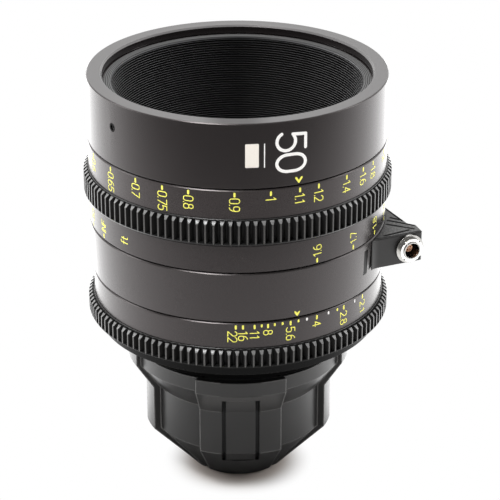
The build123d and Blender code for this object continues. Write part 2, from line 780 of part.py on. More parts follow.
# Geared band pressed on the focus ring from below
with BuildPart() as focus_gear:
    toothed_band(focus_teeth, focus_gear_foot_z, focus_gear_height, focus_seat_radius + seat_clearance,
                 front_radius, focus_shoulder_height, front_radius + edge_break)
save(focus_gear, "focus_gear")

# Plain band under the gear with the second distance scale
with BuildPart() as focus_scale_band:
    turned([
        (focus_seat_radius + seat_clearance, focus_foot_z),
        (front_radius - edge_break, focus_foot_z),
        (front_radius, focus_foot_z + edge_break),
        (front_radius, focus_gear_foot_z - focus_shoulder_height),
        (focus_seat_radius + seat_clearance, focus_gear_foot_z - focus_shoulder_height),
    ])
save(focus_scale_band, "focus_scale_band")

# Helicoid ring: turned by the focus ring through the slot in the sleeve
helicoid_foot_z = middle_top_z + helicoid_foot
helicoid_top_z = helicoid_foot_z + helicoid_height
key_inner_radius = helicoid_outer_radius - key_pocket_depth
with BuildPart() as helicoid_ring:
    tube(helicoid_outer_radius, helicoid_bore_radius, helicoid_foot_z, helicoid_top_z)
    with BuildSketch(outward(key_angle, key_inner_radius, key_middle_z)):
        Rectangle(key_width, key_height)
    extrude(amount=key_pocket_depth + overrun, mode=Mode.SUBTRACT)
save(helicoid_ring, "helicoid_ring")

# Key that joins the focus ring to the helicoid ring
with BuildPart() as focus_key:
    with BuildSketch(outward(key_angle, key_inner_radius, key_middle_z)):
        RectangleRounded(key_width - 2 * seat_clearance, key_height - 2 * seat_clearance, edge_break)
    extrude(amount=focus_seat_radius - edge_break - key_inner_radius)
save(focus_key, "focus_key")

# Focus cell: moves along the axis with the glass that focuses the lens
cell_top_z = baffle_foot_z - cell_top_drop
cell_foot_z = cell_top_z - cell_height
cell_tube_radius = cell_bore_radius + cell_wall
second_glass_z = cell_foot_z + cell_wall + cell_floor
front_glass_z = second_glass_z + second_glass_edge + spacer_height
retaining_z = front_glass_z + front_glass_edge
cell_lip_z = retaining_z + retaining_height + cell_rim
guide_top_z = helicoid_foot_z - ring_gap
focus_back_travel = focus_back_turn * focus_travel_per_degree
guide_groove_top_z = guide_top_z + focus_back_travel + guide_key_top_clearance
with BuildPart() as focus_cell:
    tube(cell_radius, cell_radius - cell_wall, cell_foot_z, cell_top_z)
    tube(cell_radius - cell_wall / 2, cell_tube_radius - cell_wall / 2, second_glass_z,
         second_glass_z + cell_web)
    tube(cell_tube_radius, cell_bore_radius, second_glass_z - cell_floor, cell_lip_z)
    tube(cell_bore_radius + cell_wall / 2, cell_seat_radius, second_glass_z - cell_floor, second_glass_z)
    for angle in guide_key_angles:
        with BuildSketch(outward(angle, cell_radius - guide_key_depth,
                                 (cell_foot_z + guide_groove_top_z) / 2)):
            Rectangle(guide_key_width + 2 * running_clearance, guide_groove_top_z - cell_foot_z)
        extrude(amount=guide_key_depth + overrun, mode=Mode.SUBTRACT)
save(focus_cell, "focus_cell")


def glass(radius, low, high, sag_low, sag_high):
    """A round element with a flat rim between two heights, domed out (or in) inside the rim."""
    dome = radius - glass_rim
    with BuildSketch(Plane.XZ) as section:
        with BuildLine():
            Line((0, low - sag_low), (0, high + sag_high))
            RadiusArc((0, high + sag_high), (dome, high), dome_radius(dome, sag_high))
            Polyline((dome, high), (radius, high), (radius, low), (dome, low))
            RadiusArc((dome, low), (0, low - sag_low), dome_radius(dome, sag_low))
        make_face()
    revolve(section.sketch, axis=Axis.Z)


def dome_radius(half_width, sag):
    """Radius of the sphere that rises by sag over half_width; hollow ones are negative."""
    size = (half_width ** 2 + sag ** 2) / (2 * abs(sag))
    return size if sag > 0 else -size


def screw_ring(inner, outer, low, high, notch):
    """A threaded retaining ring with two spanner notches in its upper face."""
    tube(outer, inner, low, high)
    with BuildSketch(Plane.XY.offset(high)) as notches:
        with PolarLocations((inner + outer) / 2, 2):
            Rectangle(outer - inner + overrun, notch)
    extrude(notches.sketch, amount=-(high - low) / 2, mode=Mode.SUBTRACT)


with BuildPart() as focus_glass_front:
    glass(cell_bore_radius - seat_clearance, front_glass_z, front_glass_z + front_glass_edge,
          front_glass_rear_sag, front_glass_front_sag)
save(focus_glass_front, "focus_glass_front")

with BuildPart() as focus_glass_rear:
    glass(cell_bore_radius - seat_clearance, second_glass_z, second_glass_z + second_glass_edge,
          second_glass_rear_sag, second_glass_front_sag)
save(focus_glass_rear, "focus_glass_rear")

with BuildPart() as focus_glass_spacer:
    tube(cell_bore_radius - seat_clearance, cell_bore_radius - spacer_width,
         second_glass_z + second_glass_edge, front_glass_z)
save(focus_glass_spacer, "focus_glass_spacer")

with BuildPart() as focus_retaining_ring:
    screw_ring(cell_bore_radius - retaining_width, cell_bore_radius - seat_clearance, retaining_z,
               retaining_z + retaining_height, retaining_notch)
save(focus_retaining_ring, "focus_retaining_ring")

# Two keys on the iris housing keep the focus cell from turning
with BuildPart() as guide_keys:
    for angle in guide_key_angles:
        with BuildSketch(outward(angle, cell_radius - guide_key_depth + running_clearance,
                                 (web_top_z + guide_top_z) / 2)):
            Rectangle(guide_key_width, guide_top_z - web_top_z)
        extrude(amount=sleeve_bore_radius - cell_radius + guide_key_depth - 4 * running_clearance)
save(guide_keys, "guide_keys")

# Iris housing: a cup inside the sleeve round the cam ring and the blades
with BuildPart() as iris_housing:
    tube(iris_bore_radius + iris_wall, iris_bore_radius, iris_housing_foot_z, web_z + web_thickness / 2)
    tube(sleeve_bore_radius - seat_clearance, web_bore_radius, web_z, web_top_z)
    arc_slot(iris_bore_radius - overrun, iris_bore_radius + iris_wall + overrun,
             drive_z - drive_slot_half_height, drive_z + drive_slot_half_height,
             drive_slot_start, drive_slot_sweep)
    with BuildSketch(Plane.XY.offset(web_top_z)):
        with PolarLocations(base_screw_circle, base_screw_count, first_pivot_angle):
            Circle(base_screw_radius)
    extrude(amount=-web_thickness, mode=Mode.SUBTRACT)
    with BuildSketch(Plane.XY.offset(web_top_z)):
        with PolarLocations(base_screw_circle, base_screw_count, first_pivot_angle):
            Circle(base_screw_head_radius)
    extrude(amount=-base_screw_head, mode=Mode.SUBTRACT)
    for angle in iris_screw_angles:
        with BuildSketch(outward(angle, sleeve_radius, iris_screw_z)):
            Circle(iris_screw_radius)
        extrude(amount=-iris_screw_length, mode=Mode.SUBTRACT)
save(iris_housing, "iris_housing")

# Three radial screws hold the iris housing in the sleeve
with BuildPart() as iris_housing_screws:
    for angle in iris_screw_angles:
        with BuildSketch(outward(angle, sleeve_radius - edge_break, iris_screw_z)):
            Circle(iris_screw_radius)
        extrude(amount=-(iris_screw_length - edge_break))
        with BuildSketch(outward(angle, sleeve_radius - edge_break, iris_screw_z)):
            RegularPolygon(iris_screw_radius * grub_hex_share, 6)
        extrude(amount=-iris_screw_radius, mode=Mode.SUBTRACT)
save(iris_housing_screws, "iris_housing_screws")

# Base plate: the blades' pivot pins turn in its holes
blade_turn = 360 / blade_count
with BuildPart() as iris_base_plate:
    tube(iris_bore_radius - seat_clearance, aperture_radius + running_clearance, base_plate_z, web_z)
    with BuildSketch(Plane.XY.offset(base_plate_z)):
        with PolarLocations(blade_pivot_radius, blade_count, first_pivot_angle):
            Circle(blade_pin_radius + running_clearance)
        with PolarLocations(base_screw_circle, base_screw_count, first_pivot_angle):
            Circle(base_screw_radius)
    extrude(amount=base_plate_thickness, mode=Mode.SUBTRACT)
save(iris_base_plate, "iris_base_plate")

with BuildPart() as base_plate_screws:
    with BuildSketch(Plane.XY.offset(web_top_z)):
        with PolarLocations(base_screw_circle, base_screw_count, first_pivot_angle):
            Circle(base_screw_head_radius)
            RegularPolygon(base_screw_radius * grub_hex_share, 6, mode=Mode.SUBTRACT)
    extrude(amount=-base_screw_head)
    with BuildSketch(Plane.XY.offset(web_top_z - base_screw_head)):
        with PolarLocations(base_screw_circle, base_screw_count, first_pivot_angle):
            Circle(base_screw_radius)
    extrude(amount=-(base_screw_length - base_screw_head))
save(base_plate_screws, "base_plate_screws")


def lever_end(swing, ring_turn):
    """Where a blade's drive pin stands on the cam ring, seen by the first blade."""
    lever_turn = radians(first_pivot_angle + blade_lever_angle + swing)
    pivot_turn = radians(first_pivot_angle)
    x = blade_pivot_radius * cos(pivot_turn) + blade_lever * cos(lever_turn)
    y = blade_pivot_radius * sin(pivot_turn) + blade_lever * sin(lever_turn)
    back = radians(-ring_turn)
    return x * cos(back) - y * sin(back), x * sin(back) + y * cos(back)


# Cam ring: each blade's drive pin runs in one of its curved slots
slot_half_width = blade_pin_radius + cam_slot_clearance
cam_turn_total = iris_open_turn + iris_close_turn + 2 * turn_margin
cam_path = []
for step in range(cam_slot_points):
    ring_turn = -iris_open_turn - turn_margin + cam_turn_total * step / (cam_slot_points - 1)
    cam_path.append(lever_end(blade_rest_swing + swing_ratio * ring_turn, ring_turn))


def beside(path, step, distance):
    """The point that lies a distance to the left of a step of the path."""
    before = path[max(step - 1, 0)]
    after = path[min(step + 1, len(path) - 1)]
    run = hypot(after[0] - before[0], after[1] - before[1])
    return (
        path[step][0] - distance * (after[1] - before[1]) / run,
        path[step][1] + distance * (after[0] - before[0]) / run,
    )


def past_end(path, end, neighbour, distance):
    """The point that lies a distance past one end of the path."""
    run = hypot(end[0] - neighbour[0], end[1] - neighbour[1])
    return end[0] + distance * (end[0] - neighbour[0]) / run, end[1] + distance * (end[1] - neighbour[1]) / run


slot_left = [beside(cam_path, step, slot_half_width) for step in range(cam_slot_points)]
slot_right = [beside(cam_path, step, -slot_half_width) for step in range(cam_slot_points)]
with BuildSketch() as cam_slot:
    with BuildLine():
        Spline(*slot_left)
        ThreePointArc(slot_left[-1], past_end(cam_path, cam_path[-1], cam_path[-2], slot_half_width),
                      slot_right[-1])
        Spline(*reversed(slot_right))
        ThreePointArc(slot_right[0], past_end(cam_path, cam_path[0], cam_path[1], slot_half_width),
                      slot_left[0])
    make_face()
with BuildPart() as iris_cam_ring:
    tube(cam_radius, cam_inner_radius, cam_foot_z, cam_top_z)
    with BuildSketch(Plane.XY.offset(cam_foot_z)):
        with PolarLocations(0, blade_count):
            add(cam_slot.sketch)
    extrude(amount=cam_thickness, mode=Mode.SUBTRACT)
    with BuildSketch(outward(drive_screw_angle, cam_radius + overrun, drive_z)):
        Circle(drive_screw_radius)
    extrude(amount=-(drive_screw_grip + overrun), mode=Mode.SUBTRACT)
save(iris_cam_ring, "iris_cam_ring")

# Blades: each on its own level, with a pivot pin up into the base plate and a drive pin
# down into the cam ring; drawn at the middle mark of the aperture scale
for blade in range(blade_count):
    pivot_turn = first_pivot_angle + blade * blade_turn
    level_z = blade_foot_z + blade * blade_pitch
    swing_turn = radians(pivot_turn + blade_rest_swing)
    pivot = (
        blade_pivot_radius * cos(radians(pivot_turn)),
        blade_pivot_radius * sin(radians(pivot_turn)),
        level_z,
    )
    frame = Plane(origin=pivot, x_dir=(cos(swing_turn), sin(swing_turn), 0), z_dir=(0, 0, 1))
    lever_turn = radians(blade_lever_angle)
    lever_tip = (blade_lever * cos(lever_turn), blade_lever * sin(lever_turn))
    with BuildPart() as iris_blade:
        with BuildSketch(frame):
            with BuildLine():
                outer_edge = CenterArc((-blade_pivot_radius, 0), blade_outer_radius, -blade_lead, blade_span)
                inner_edge = CenterArc((-blade_pivot_radius, 0), aperture_radius, -blade_lead, blade_span)
                Line(outer_edge @ 0, inner_edge @ 0)
                Line(outer_edge @ 1, inner_edge @ 1)
            make_face()
            Circle(blade_boss_radius)
            with Locations(Location((lever_tip[0] / 2, lever_tip[1] / 2, 0), (0, 0, blade_lever_angle))):
                Rectangle(blade_lever, 2 * blade_arm_half_width)
            with Locations(lever_tip):
                Circle(blade_arm_half_width)
        extrude(amount=blade_thickness)
        with BuildSketch(frame.offset(blade_thickness)):
            Circle(blade_pin_radius)
        extrude(amount=base_plate_z - level_z - blade_thickness + blade_pin_depth)
        with BuildSketch(frame):
            with Locations(lever_tip):
                Circle(blade_pin_radius)
        extrude(amount=-(level_z - cam_top_z + blade_pin_depth))
    save(iris_blade, "iris_blade_" + str(blade + 1))

# Ring that keeps the cam ring in its housing
with BuildPart() as cam_stop_ring:
    screw_ring(cam_radius - cam_stop_width, iris_bore_radius - seat_clearance, iris_housing_foot_z,
               cam_foot_z - running_clearance, retaining_notch)
save(cam_stop_ring, "cam_stop_ring")

# Iris ring: turns on the sleeve, carries the aperture marks and its geared band
iris_foot_z = rear_top_z + ring_gap
iris_gear_foot_z = rear_top_z + iris_gear_foot
iris_land_z = iris_gear_foot_z + iris_gear_height + gear_land_height
iris_seat_radius = iris_radius - gear_seat_depth
with BuildPart() as iris_ring:
    turned([
        (ring_bore_radius, iris_foot_z),
        (iris_seat_radius, iris_foot_z),
        (iris_seat_radius, iris_land_z),
        (iris_radius, iris_land_z),
        (iris_radius, iris_top_z - ring_gap - edge_break),
        (iris_radius - edge_break, iris_top_z - ring_gap),
        (ring_bore_radius, iris_top_z - ring_gap),
    ])
    with BuildSketch(outward(drive_screw_angle, iris_radius, drive_z)):
        Circle(drive_screw_radius)
    extrude(amount=-(iris_radius - sleeve_radius + overrun), mode=Mode.SUBTRACT)
save(iris_ring, "iris_ring")

with BuildPart() as iris_gear:
    toothed_band(iris_teeth, iris_gear_foot_z, iris_gear_height, iris_seat_radius + seat_clearance,
                 iris_radius + edge_break, iris_shoulder_height, iris_radius + edge_break)
save(iris_gear, "iris_gear")

# Headless screw through the iris ring into the cam ring
with BuildPart() as iris_drive_screw:
    tip_radius = cam_radius - drive_screw_grip
    with BuildSketch(outward(drive_screw_angle, tip_radius, drive_z)):
        Circle(drive_screw_radius)
    extrude(amount=iris_seat_radius - edge_break - tip_radius)
    with BuildSketch(outward(drive_screw_angle, iris_seat_radius - edge_break, drive_z)):
        RegularPolygon(drive_screw_radius * grub_hex_share, 6)
    extrude(amount=-drive_screw_radius, mode=Mode.SUBTRACT)
save(iris_drive_screw, "iris_drive_screw")

# Rear barrel: dark glossy cone between the iris ring and the lens mount
rear_floor_z = rear_foot_z + rear_floor
mount_top_z = rear_foot_z - shim_thickness
flange_z = cap_mouth_foot + cap_shoulder_gap
mount_foot_z = flange_z - mount_tube_length
rear_cell_screw_angle = mount_clock + rear_cell_screw_turn
with BuildPart() as rear_barrel:
    turned([
        (mount_bore_radius, rear_foot_z),
        (rear_foot_radius - edge_break, rear_foot_z),
        (rear_foot_radius, rear_foot_z + edge_break),
        (rear_foot_radius, rear_foot_z + rear_foot_height),
        (rear_top_radius, rear_top_z - rear_cylinder_height),
        (rear_top_radius, rear_top_z - edge_break),
        (rear_top_radius - edge_break, rear_top_z),
        (sleeve_radius + seat_clearance, rear_top_z),
        (sleeve_radius + seat_clearance, rear_top_z - sleeve_ledge),
        (rear_bore_radius, rear_top_z - sleeve_ledge),
        (rear_bore_radius, rear_floor_z),
        (mount_bore_radius, rear_floor_z),
    ])
    for angle in rear_grub_angles:
        with BuildSketch(outward(angle, rear_top_radius + overrun, rear_top_z - rear_grub_drop)):
            Circle(rear_grub_radius)
        extrude(amount=-(rear_top_radius - sleeve_radius + 2 * overrun), mode=Mode.SUBTRACT)
    with BuildSketch(Plane.XY.offset(rear_foot_z)):
        with PolarLocations(mount_screw_circle, mount_screw_count, mount_clock):
            Circle(mount_screw_radius)
    extrude(amount=flange_z + mount_screw_length - rear_foot_z, mode=Mode.SUBTRACT)
    with BuildSketch(Plane.XY.offset(rear_floor_z)):
        with PolarLocations(mount_screw_circle, rear_cell_screw_count, rear_cell_screw_angle):
            Circle(mount_screw_radius)
    extrude(amount=-(rear_cell_screw_length - rear_cell_flange), mode=Mode.SUBTRACT)
save(rear_barrel, "rear_barrel")

with BuildPart() as rear_grub_screws:
    for angle in rear_grub_angles:
        with BuildSketch(outward(angle, rear_top_radius - edge_break, rear_top_z - rear_grub_drop)):
            Circle(rear_grub_radius)
        extrude(amount=-rear_grub_length)
        with BuildSketch(outward(angle, rear_top_radius - edge_break, rear_top_z - rear_grub_drop)):
            RegularPolygon(rear_grub_radius * grub_hex_share, 6)
        extrude(amount=-rear_grub_radius, mode=Mode.SUBTRACT)
save(rear_grub_screws, "rear_grub_screws")

# Rear cell and its glass, hung from the floor of the rear barrel
rear_cell_foot_z = mount_foot_z + rear_cell_bottom
rear_glass_z = rear_cell_foot_z + running_clearance + rear_ring_height
rear_glass_top_z = rear_glass_z + rear_glass_edge
rear_front_seat_z = rear_foot_z
rear_cell_top_z = rear_floor_z + rear_cell_flange
rear_front_ring_z = rear_front_seat_z + rear_front_glass_edge
with BuildPart() as rear_cell:
    turned([
        (rear_glass_radius, rear_cell_foot_z),
        (rear_cell_radius, rear_cell_foot_z),
        (rear_cell_radius, rear_floor_z),
        (rear_cell_flange_radius, rear_floor_z),
        (rear_cell_flange_radius, rear_cell_top_z),
        (rear_front_glass_radius, rear_cell_top_z),
        (rear_front_glass_radius, rear_front_seat_z),
        (rear_front_glass_radius - rear_seat_width, rear_front_seat_z),
        (rear_front_glass_radius - rear_seat_width, rear_front_seat_z - rear_seat_width),
        (rear_glass_radius - rear_seat_width, rear_front_seat_z - 2 * rear_seat_width),
        (rear_glass_radius - rear_seat_width, rear_glass_top_z),
        (rear_glass_radius, rear_glass_top_z),
    ])
    with BuildSketch(Plane.XY.offset(rear_cell_top_z)):
        with PolarLocations(mount_screw_circle, rear_cell_screw_count, rear_cell_screw_angle):
            Circle(mount_screw_radius)
    extrude(amount=-rear_cell_flange, mode=Mode.SUBTRACT)
    with BuildSketch(Plane.XY.offset(rear_cell_top_z)):
        with PolarLocations(mount_screw_circle, rear_cell_screw_count, rear_cell_screw_angle):
            Circle(mount_screw_head_radius)
    extrude(amount=-mount_screw_head, mode=Mode.SUBTRACT)
save(rear_cell, "rear_cell")

with BuildPart() as rear_cell_screws:
    with BuildSketch(Plane.XY.offset(rear_cell_top_z)):
        with PolarLocations(mount_screw_circle, rear_cell_screw_count, rear_cell_screw_angle):
            Circle(mount_screw_head_radius)
            RegularPolygon(mount_screw_radius * grub_hex_share, 6, mode=Mode.SUBTRACT)
    extrude(amount=-mount_screw_head)
    with BuildSketch(Plane.XY.offset(rear_cell_top_z - mount_screw_head)):
        with PolarLocations(mount_screw_circle, rear_cell_screw_count, rear_cell_screw_angle):
            Circle(mount_screw_radius)
    extrude(amount=-(rear_cell_screw_length - mount_screw_head))
save(rear_cell_screws, "rear_cell_screws")

with BuildPart() as rear_glass_front:
    glass(rear_front_glass_radius - seat_clearance, rear_front_seat_z,
          rear_front_seat_z + rear_front_glass_edge, rear_front_glass_rear_sag, rear_front_glass_front_sag)
save(rear_glass_front, "rear_glass_front")

with BuildPart() as rear_glass_back:
    glass(rear_glass_radius - seat_clearance, rear_glass_z, rear_glass_top_z,
          rear_glass_rear_sag, rear_glass_front_sag)
save(rear_glass_back, "rear_glass_back")

with BuildPart() as rear_front_ring:
    screw_ring(rear_front_glass_radius - rear_ring_width, rear_front_glass_radius - seat_clearance,
               rear_front_ring_z, rear_front_ring_z + rear_ring_height, retaining_notch)
save(rear_front_ring, "rear_front_ring")

with BuildPart() as rear_back_ring:
    tube(rear_glass_radius - seat_clearance, rear_glass_radius - rear_ring_width,
         rear_glass_z - rear_ring_height, rear_glass_z)
    with BuildSketch(Plane.XY.offset(rear_glass_z - rear_ring_height)) as back_notches:
        with PolarLocations(rear_glass_radius - rear_ring_width / 2, 2):
            Rectangle(rear_ring_width + overrun, retaining_notch)
    extrude(back_notches.sketch, amount=rear_ring_height / 2, mode=Mode.SUBTRACT)
save(rear_back_ring, "rear_back_ring")

# Lens mount: neck, four lugs and the register tube, turned and milled in one
with BuildPart() as lens_mount:
    tube(mount_neck_radius, mount_bore_radius, flange_z, mount_top_z)
    with BuildSketch(Plane.XY.offset(flange_z)):
        for lug in range(cap_lobes):
            lug_angle = mount_clock + lug * 360 / cap_lobes
            with BuildLine():
                lug_edge = CenterArc((0, 0), mount_lug_radius, lug_angle - mount_lug_half_angle,
                                     2 * mount_lug_half_angle)
                Line((0, 0), lug_edge @ 0)
                Line(lug_edge @ 1, (0, 0))
            make_face()
        Circle(mount_bore_radius, mode=Mode.SUBTRACT)
    extrude(amount=mount_flange_thickness)
    tube(mount_tube_radius, mount_bore_radius, mount_foot_z, flange_z)
    pin_angle = mount_clock + 360 / cap_lobes
    with BuildSketch(outward(pin_angle, mount_lug_radius + overrun, flange_z + mount_flange_thickness / 2)):
        Rectangle(mount_pin_slot, mount_flange_thickness)
    extrude(amount=-(mount_pin_slot_depth + overrun), mode=Mode.SUBTRACT)
    with BuildSketch(Plane.XY.offset(flange_z)):
        with PolarLocations(mount_screw_circle, mount_screw_count, mount_clock):
            Circle(mount_screw_radius)
    extrude(amount=mount_top_z - flange_z, mode=Mode.SUBTRACT)
    with BuildSketch(Plane.XY.offset(flange_z)):
        with PolarLocations(mount_screw_circle, mount_screw_count, mount_clock):
            Circle(mount_screw_head_radius)
    extrude(amount=mount_screw_head, mode=Mode.SUBTRACT)
save(lens_mount, "lens_mount")

# Thin shim between the mount and the rear barrel sets the back focus
with BuildPart() as mount_shim:
    tube(mount_neck_radius, mount_bore_radius, mount_top_z, rear_foot_z)
    with BuildSketch(Plane.XY.offset(mount_top_z)):
        with PolarLocations(mount_screw_circle, mount_screw_count, mount_clock):
            Circle(mount_screw_radius)
    extrude(amount=shim_thickness, mode=Mode.SUBTRACT)
save(mount_shim, "mount_shim")

with BuildPart() as mount_screws:
    with BuildSketch(Plane.XY.offset(flange_z)):
        with PolarLocations(mount_screw_circle, mount_screw_count, mount_clock):
            Circle(mount_screw_head_radius)
            RegularPolygon(mount_screw_radius * grub_hex_share, 6, mode=Mode.SUBTRACT)
    extrude(amount=mount_screw_head)
    with BuildSketch(Plane.XY.offset(flange_z + mount_screw_head)):
        with PolarLocations(mount_screw_circle, mount_screw_count, mount_clock):
            Circle(mount_screw_radius)
    extrude(amount=mount_screw_length - mount_screw_head)
save(mount_screws, "mount_screws")

# Data socket: shell with its flange on the housing's face, nut, insulator and pins
with BuildPart() as socket_shell:
    with BuildSketch(socket_plane.offset(-socket_depth)):
        Circle(socket_barrel_radius)
        Circle(socket_bore_radius, mode=Mode.SUBTRACT)
    extrude(amount=socket_depth + socket_flange_thickness + socket_nut_height + edge_break)
    with BuildSketch(socket_plane):
        Circle(socket_flange_radius)
        Circle(socket_bore_radius, mode=Mode.SUBTRACT)
    extrude(amount=socket_flange_thickness)
save(socket_shell, "socket_shell")

with BuildPart() as socket_nut:
    with BuildSketch(socket_plane.offset(socket_flange_thickness)):
        Circle(socket_nut_radius)
        Circle(socket_barrel_radius + seat_clearance, mode=Mode.SUBTRACT)
        with PolarLocations(socket_nut_radius, 4, 45):
            Rectangle(socket_key_width, socket_key_width, mode=Mode.SUBTRACT)
    extrude(amount=socket_nut_height)
    chamfer(socket_nut.faces().sort_by(Axis((0, 0, 0), face_normal))[-1].edges().filter_by(
        GeomType.CIRCLE).sort_by(SortBy.RADIUS)[-1:], seat_clearance)
save(socket_nut, "socket_nut")

insulator_top = socket_insulator_depth - socket_depth
with BuildPart() as socket_insulator:
    with BuildSketch(socket_plane.offset(-socket_depth)):
        Circle(socket_bore_radius - seat_clearance)
        with PolarLocations(pin_circle, pin_count, 45):
            Circle(pin_radius + seat_clearance, mode=Mode.SUBTRACT)
    extrude(amount=socket_insulator_depth)
    with BuildSketch(socket_plane.offset(insulator_top)):
        Circle(socket_post_radius)
        with PolarLocations(pin_circle, pin_count, 45):
            Circle(pin_radius + seat_clearance, mode=Mode.SUBTRACT)
    extrude(amount=socket_post_height)
save(socket_insulator, "socket_insulator")

with BuildPart() as socket_pins:
    with BuildSketch(socket_plane.offset(-socket_depth)):
        with PolarLocations(pin_circle, pin_count, 45):
            Circle(pin_radius)
    extrude(amount=socket_insulator_depth + socket_post_height - pin_drop)
save(socket_pins, "socket_pins")

with BuildPart() as socket_board:
    with BuildSketch(socket_plane.offset(-socket_depth)):
        Circle(socket_barrel_radius)
    extrude(amount=-board_thickness)
save(socket_board, "socket_board")


def cap_recess(angle, depth, start, width):
    """Cut a flat recess down the front of a lobe, from a distance beside its middle."""
    recess_top = cap_recess_foot + cap_recess_height
    with BuildSketch(meridian(angle).offset(start)) as section:
        with BuildLine():
            Polyline(
                (cap_mouth_radius, recess_top),
                (cap_grip_radius - depth + cap_recess_lean, recess_top),
                (cap_grip_radius - depth, cap_taper_foot),
                (cap_grip_radius - depth, cap_base_height),
                (cap_recess_foot_radius - depth, cap_recess_foot),
                (cap_mouth_radius, cap_recess_foot),
                close=True,
            )
        make_face()
    extrude(section.sketch, amount=width, mode=Mode.SUBTRACT)


# Rear cap: moulded shell with four lobes for the lugs, pushed on over the mount
bore_foot_z = mount_foot_z - cap_clearance
cap_bore_radius = mount_tube_radius + cap_clearance
cap_sections = (
    (cap_top, cap_mouth_radius, cap_mouth_valley_radius, cap_mouth_half_angle),
    (cap_mouth_foot, cap_mouth_radius, cap_mouth_valley_radius, cap_mouth_half_angle),
    (cap_taper_foot, cap_grip_radius, cap_grip_valley_radius, cap_grip_half_angle),
    (cap_base_height, cap_grip_radius, cap_grip_valley_radius, cap_grip_half_angle),
    (cap_foot_edge_height, cap_foot_edge_radius, cap_foot_edge_valley_radius, cap_foot_half_angle),
    (0, cap_foot_radius, cap_foot_valley_radius, cap_foot_half_angle),
)
with BuildPart() as rear_cap:
    for section_z, lobe_radius, valley_radius, half_angle in cap_sections:
        with BuildSketch(Plane.XY.offset(section_z)):
            with BuildLine():
                for lobe in range(cap_lobes):
                    middle = mount_clock + lobe * 360 / cap_lobes
                    valley_sweep = 360 / cap_lobes - 2 * half_angle
                    lobe_arc = CenterArc((0, 0), lobe_radius, middle - half_angle, 2 * half_angle)
                    valley_arc = CenterArc((0, 0), valley_radius, middle + half_angle, valley_sweep)
                    following = radians(middle + half_angle + valley_sweep)
                    Line(lobe_arc @ 1, valley_arc @ 0)
                    Line(valley_arc @ 1, (lobe_radius * cos(following), lobe_radius * sin(following)))
            make_face()
    loft(ruled=True)
    # hollow for the lugs, the tube and the space behind it
    with BuildSketch(Plane.XY.offset(cap_mouth_foot)):
        Circle(mount_neck_radius + cap_clearance)
        for lobe in range(cap_lobes):
            middle = mount_clock + lobe * 360 / cap_lobes
            pocket_half_angle = (mount_lug_half_angle + cap_mouth_half_angle) / 2
            with BuildLine():
                pocket_edge = CenterArc((0, 0), mount_lug_radius + cap_clearance,
                                        middle - pocket_half_angle, 2 * pocket_half_angle)
                Line((0, 0), pocket_edge @ 0)
                Line(pocket_edge @ 1, (0, 0))
            make_face()
    extrude(amount=cap_mouth_height, mode=Mode.SUBTRACT)
    turned([
        (0, cap_floor),
        (cap_inner_foot_radius, cap_floor),
        (cap_bore_radius - overrun, bore_foot_z),
        (cap_bore_radius, bore_foot_z),
        (cap_bore_radius, cap_mouth_foot + overrun),
        (0, cap_mouth_foot + overrun),
    ], mode=Mode.SUBTRACT)
    # a flat panel between two upright grooves on each lobe
    for lobe in range(cap_lobes):
        lobe_angle = mount_clock + lobe * 360 / cap_lobes
        cap_recess(lobe_angle, cap_panel_depth, -cap_groove_offset, 2 * cap_groove_offset)
        for side in (-1, 1):
            groove_start = side * cap_groove_offset - cap_groove_width / 2
            cap_recess(lobe_angle, cap_groove_depth, groove_start, cap_groove_width)
save(rear_cap, "rear_cap")
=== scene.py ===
import json
from math import ceil, copysign, cos, degrees, hypot, pi, radians, sin, tan

import bmesh
import bpy
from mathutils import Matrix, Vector

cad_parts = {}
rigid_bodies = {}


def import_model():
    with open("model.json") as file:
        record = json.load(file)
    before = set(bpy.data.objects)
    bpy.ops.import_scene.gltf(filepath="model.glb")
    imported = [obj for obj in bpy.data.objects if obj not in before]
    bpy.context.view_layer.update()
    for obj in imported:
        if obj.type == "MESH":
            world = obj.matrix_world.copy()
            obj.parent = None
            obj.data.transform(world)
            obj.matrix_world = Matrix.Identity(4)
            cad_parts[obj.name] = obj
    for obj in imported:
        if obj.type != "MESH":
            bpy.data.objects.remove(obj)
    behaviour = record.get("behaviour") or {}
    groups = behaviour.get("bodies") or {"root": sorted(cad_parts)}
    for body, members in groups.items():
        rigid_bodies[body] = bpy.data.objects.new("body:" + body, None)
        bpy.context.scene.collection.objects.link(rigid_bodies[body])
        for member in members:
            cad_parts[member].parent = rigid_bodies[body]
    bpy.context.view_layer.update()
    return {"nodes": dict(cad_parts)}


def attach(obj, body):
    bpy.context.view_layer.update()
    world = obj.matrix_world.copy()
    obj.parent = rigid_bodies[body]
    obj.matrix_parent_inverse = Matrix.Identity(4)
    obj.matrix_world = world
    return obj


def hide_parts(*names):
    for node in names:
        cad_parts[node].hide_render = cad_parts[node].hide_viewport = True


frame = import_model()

# ---------------------------------------------------------------- camera and studio
# The lens stands on a pale table and is photographed from a little above, with a long
# focal length, in front of a white sweep.  The camera is the one worked out from the photo.
camera_data = bpy.data.cameras.new("photo_camera")
camera_data.sensor_width = 36.0
camera_data.lens = 151.94
camera = bpy.data.objects.new("photo_camera", camera_data)
camera.location = (0.00395, -0.6243, 0.3645)
camera.rotation_euler = (radians(65.19), 0.0, 0.0)
bpy.context.scene.collection.objects.link(camera)
bpy.context.scene.camera = camera
bpy.context.scene.view_settings.view_transform = "Standard"


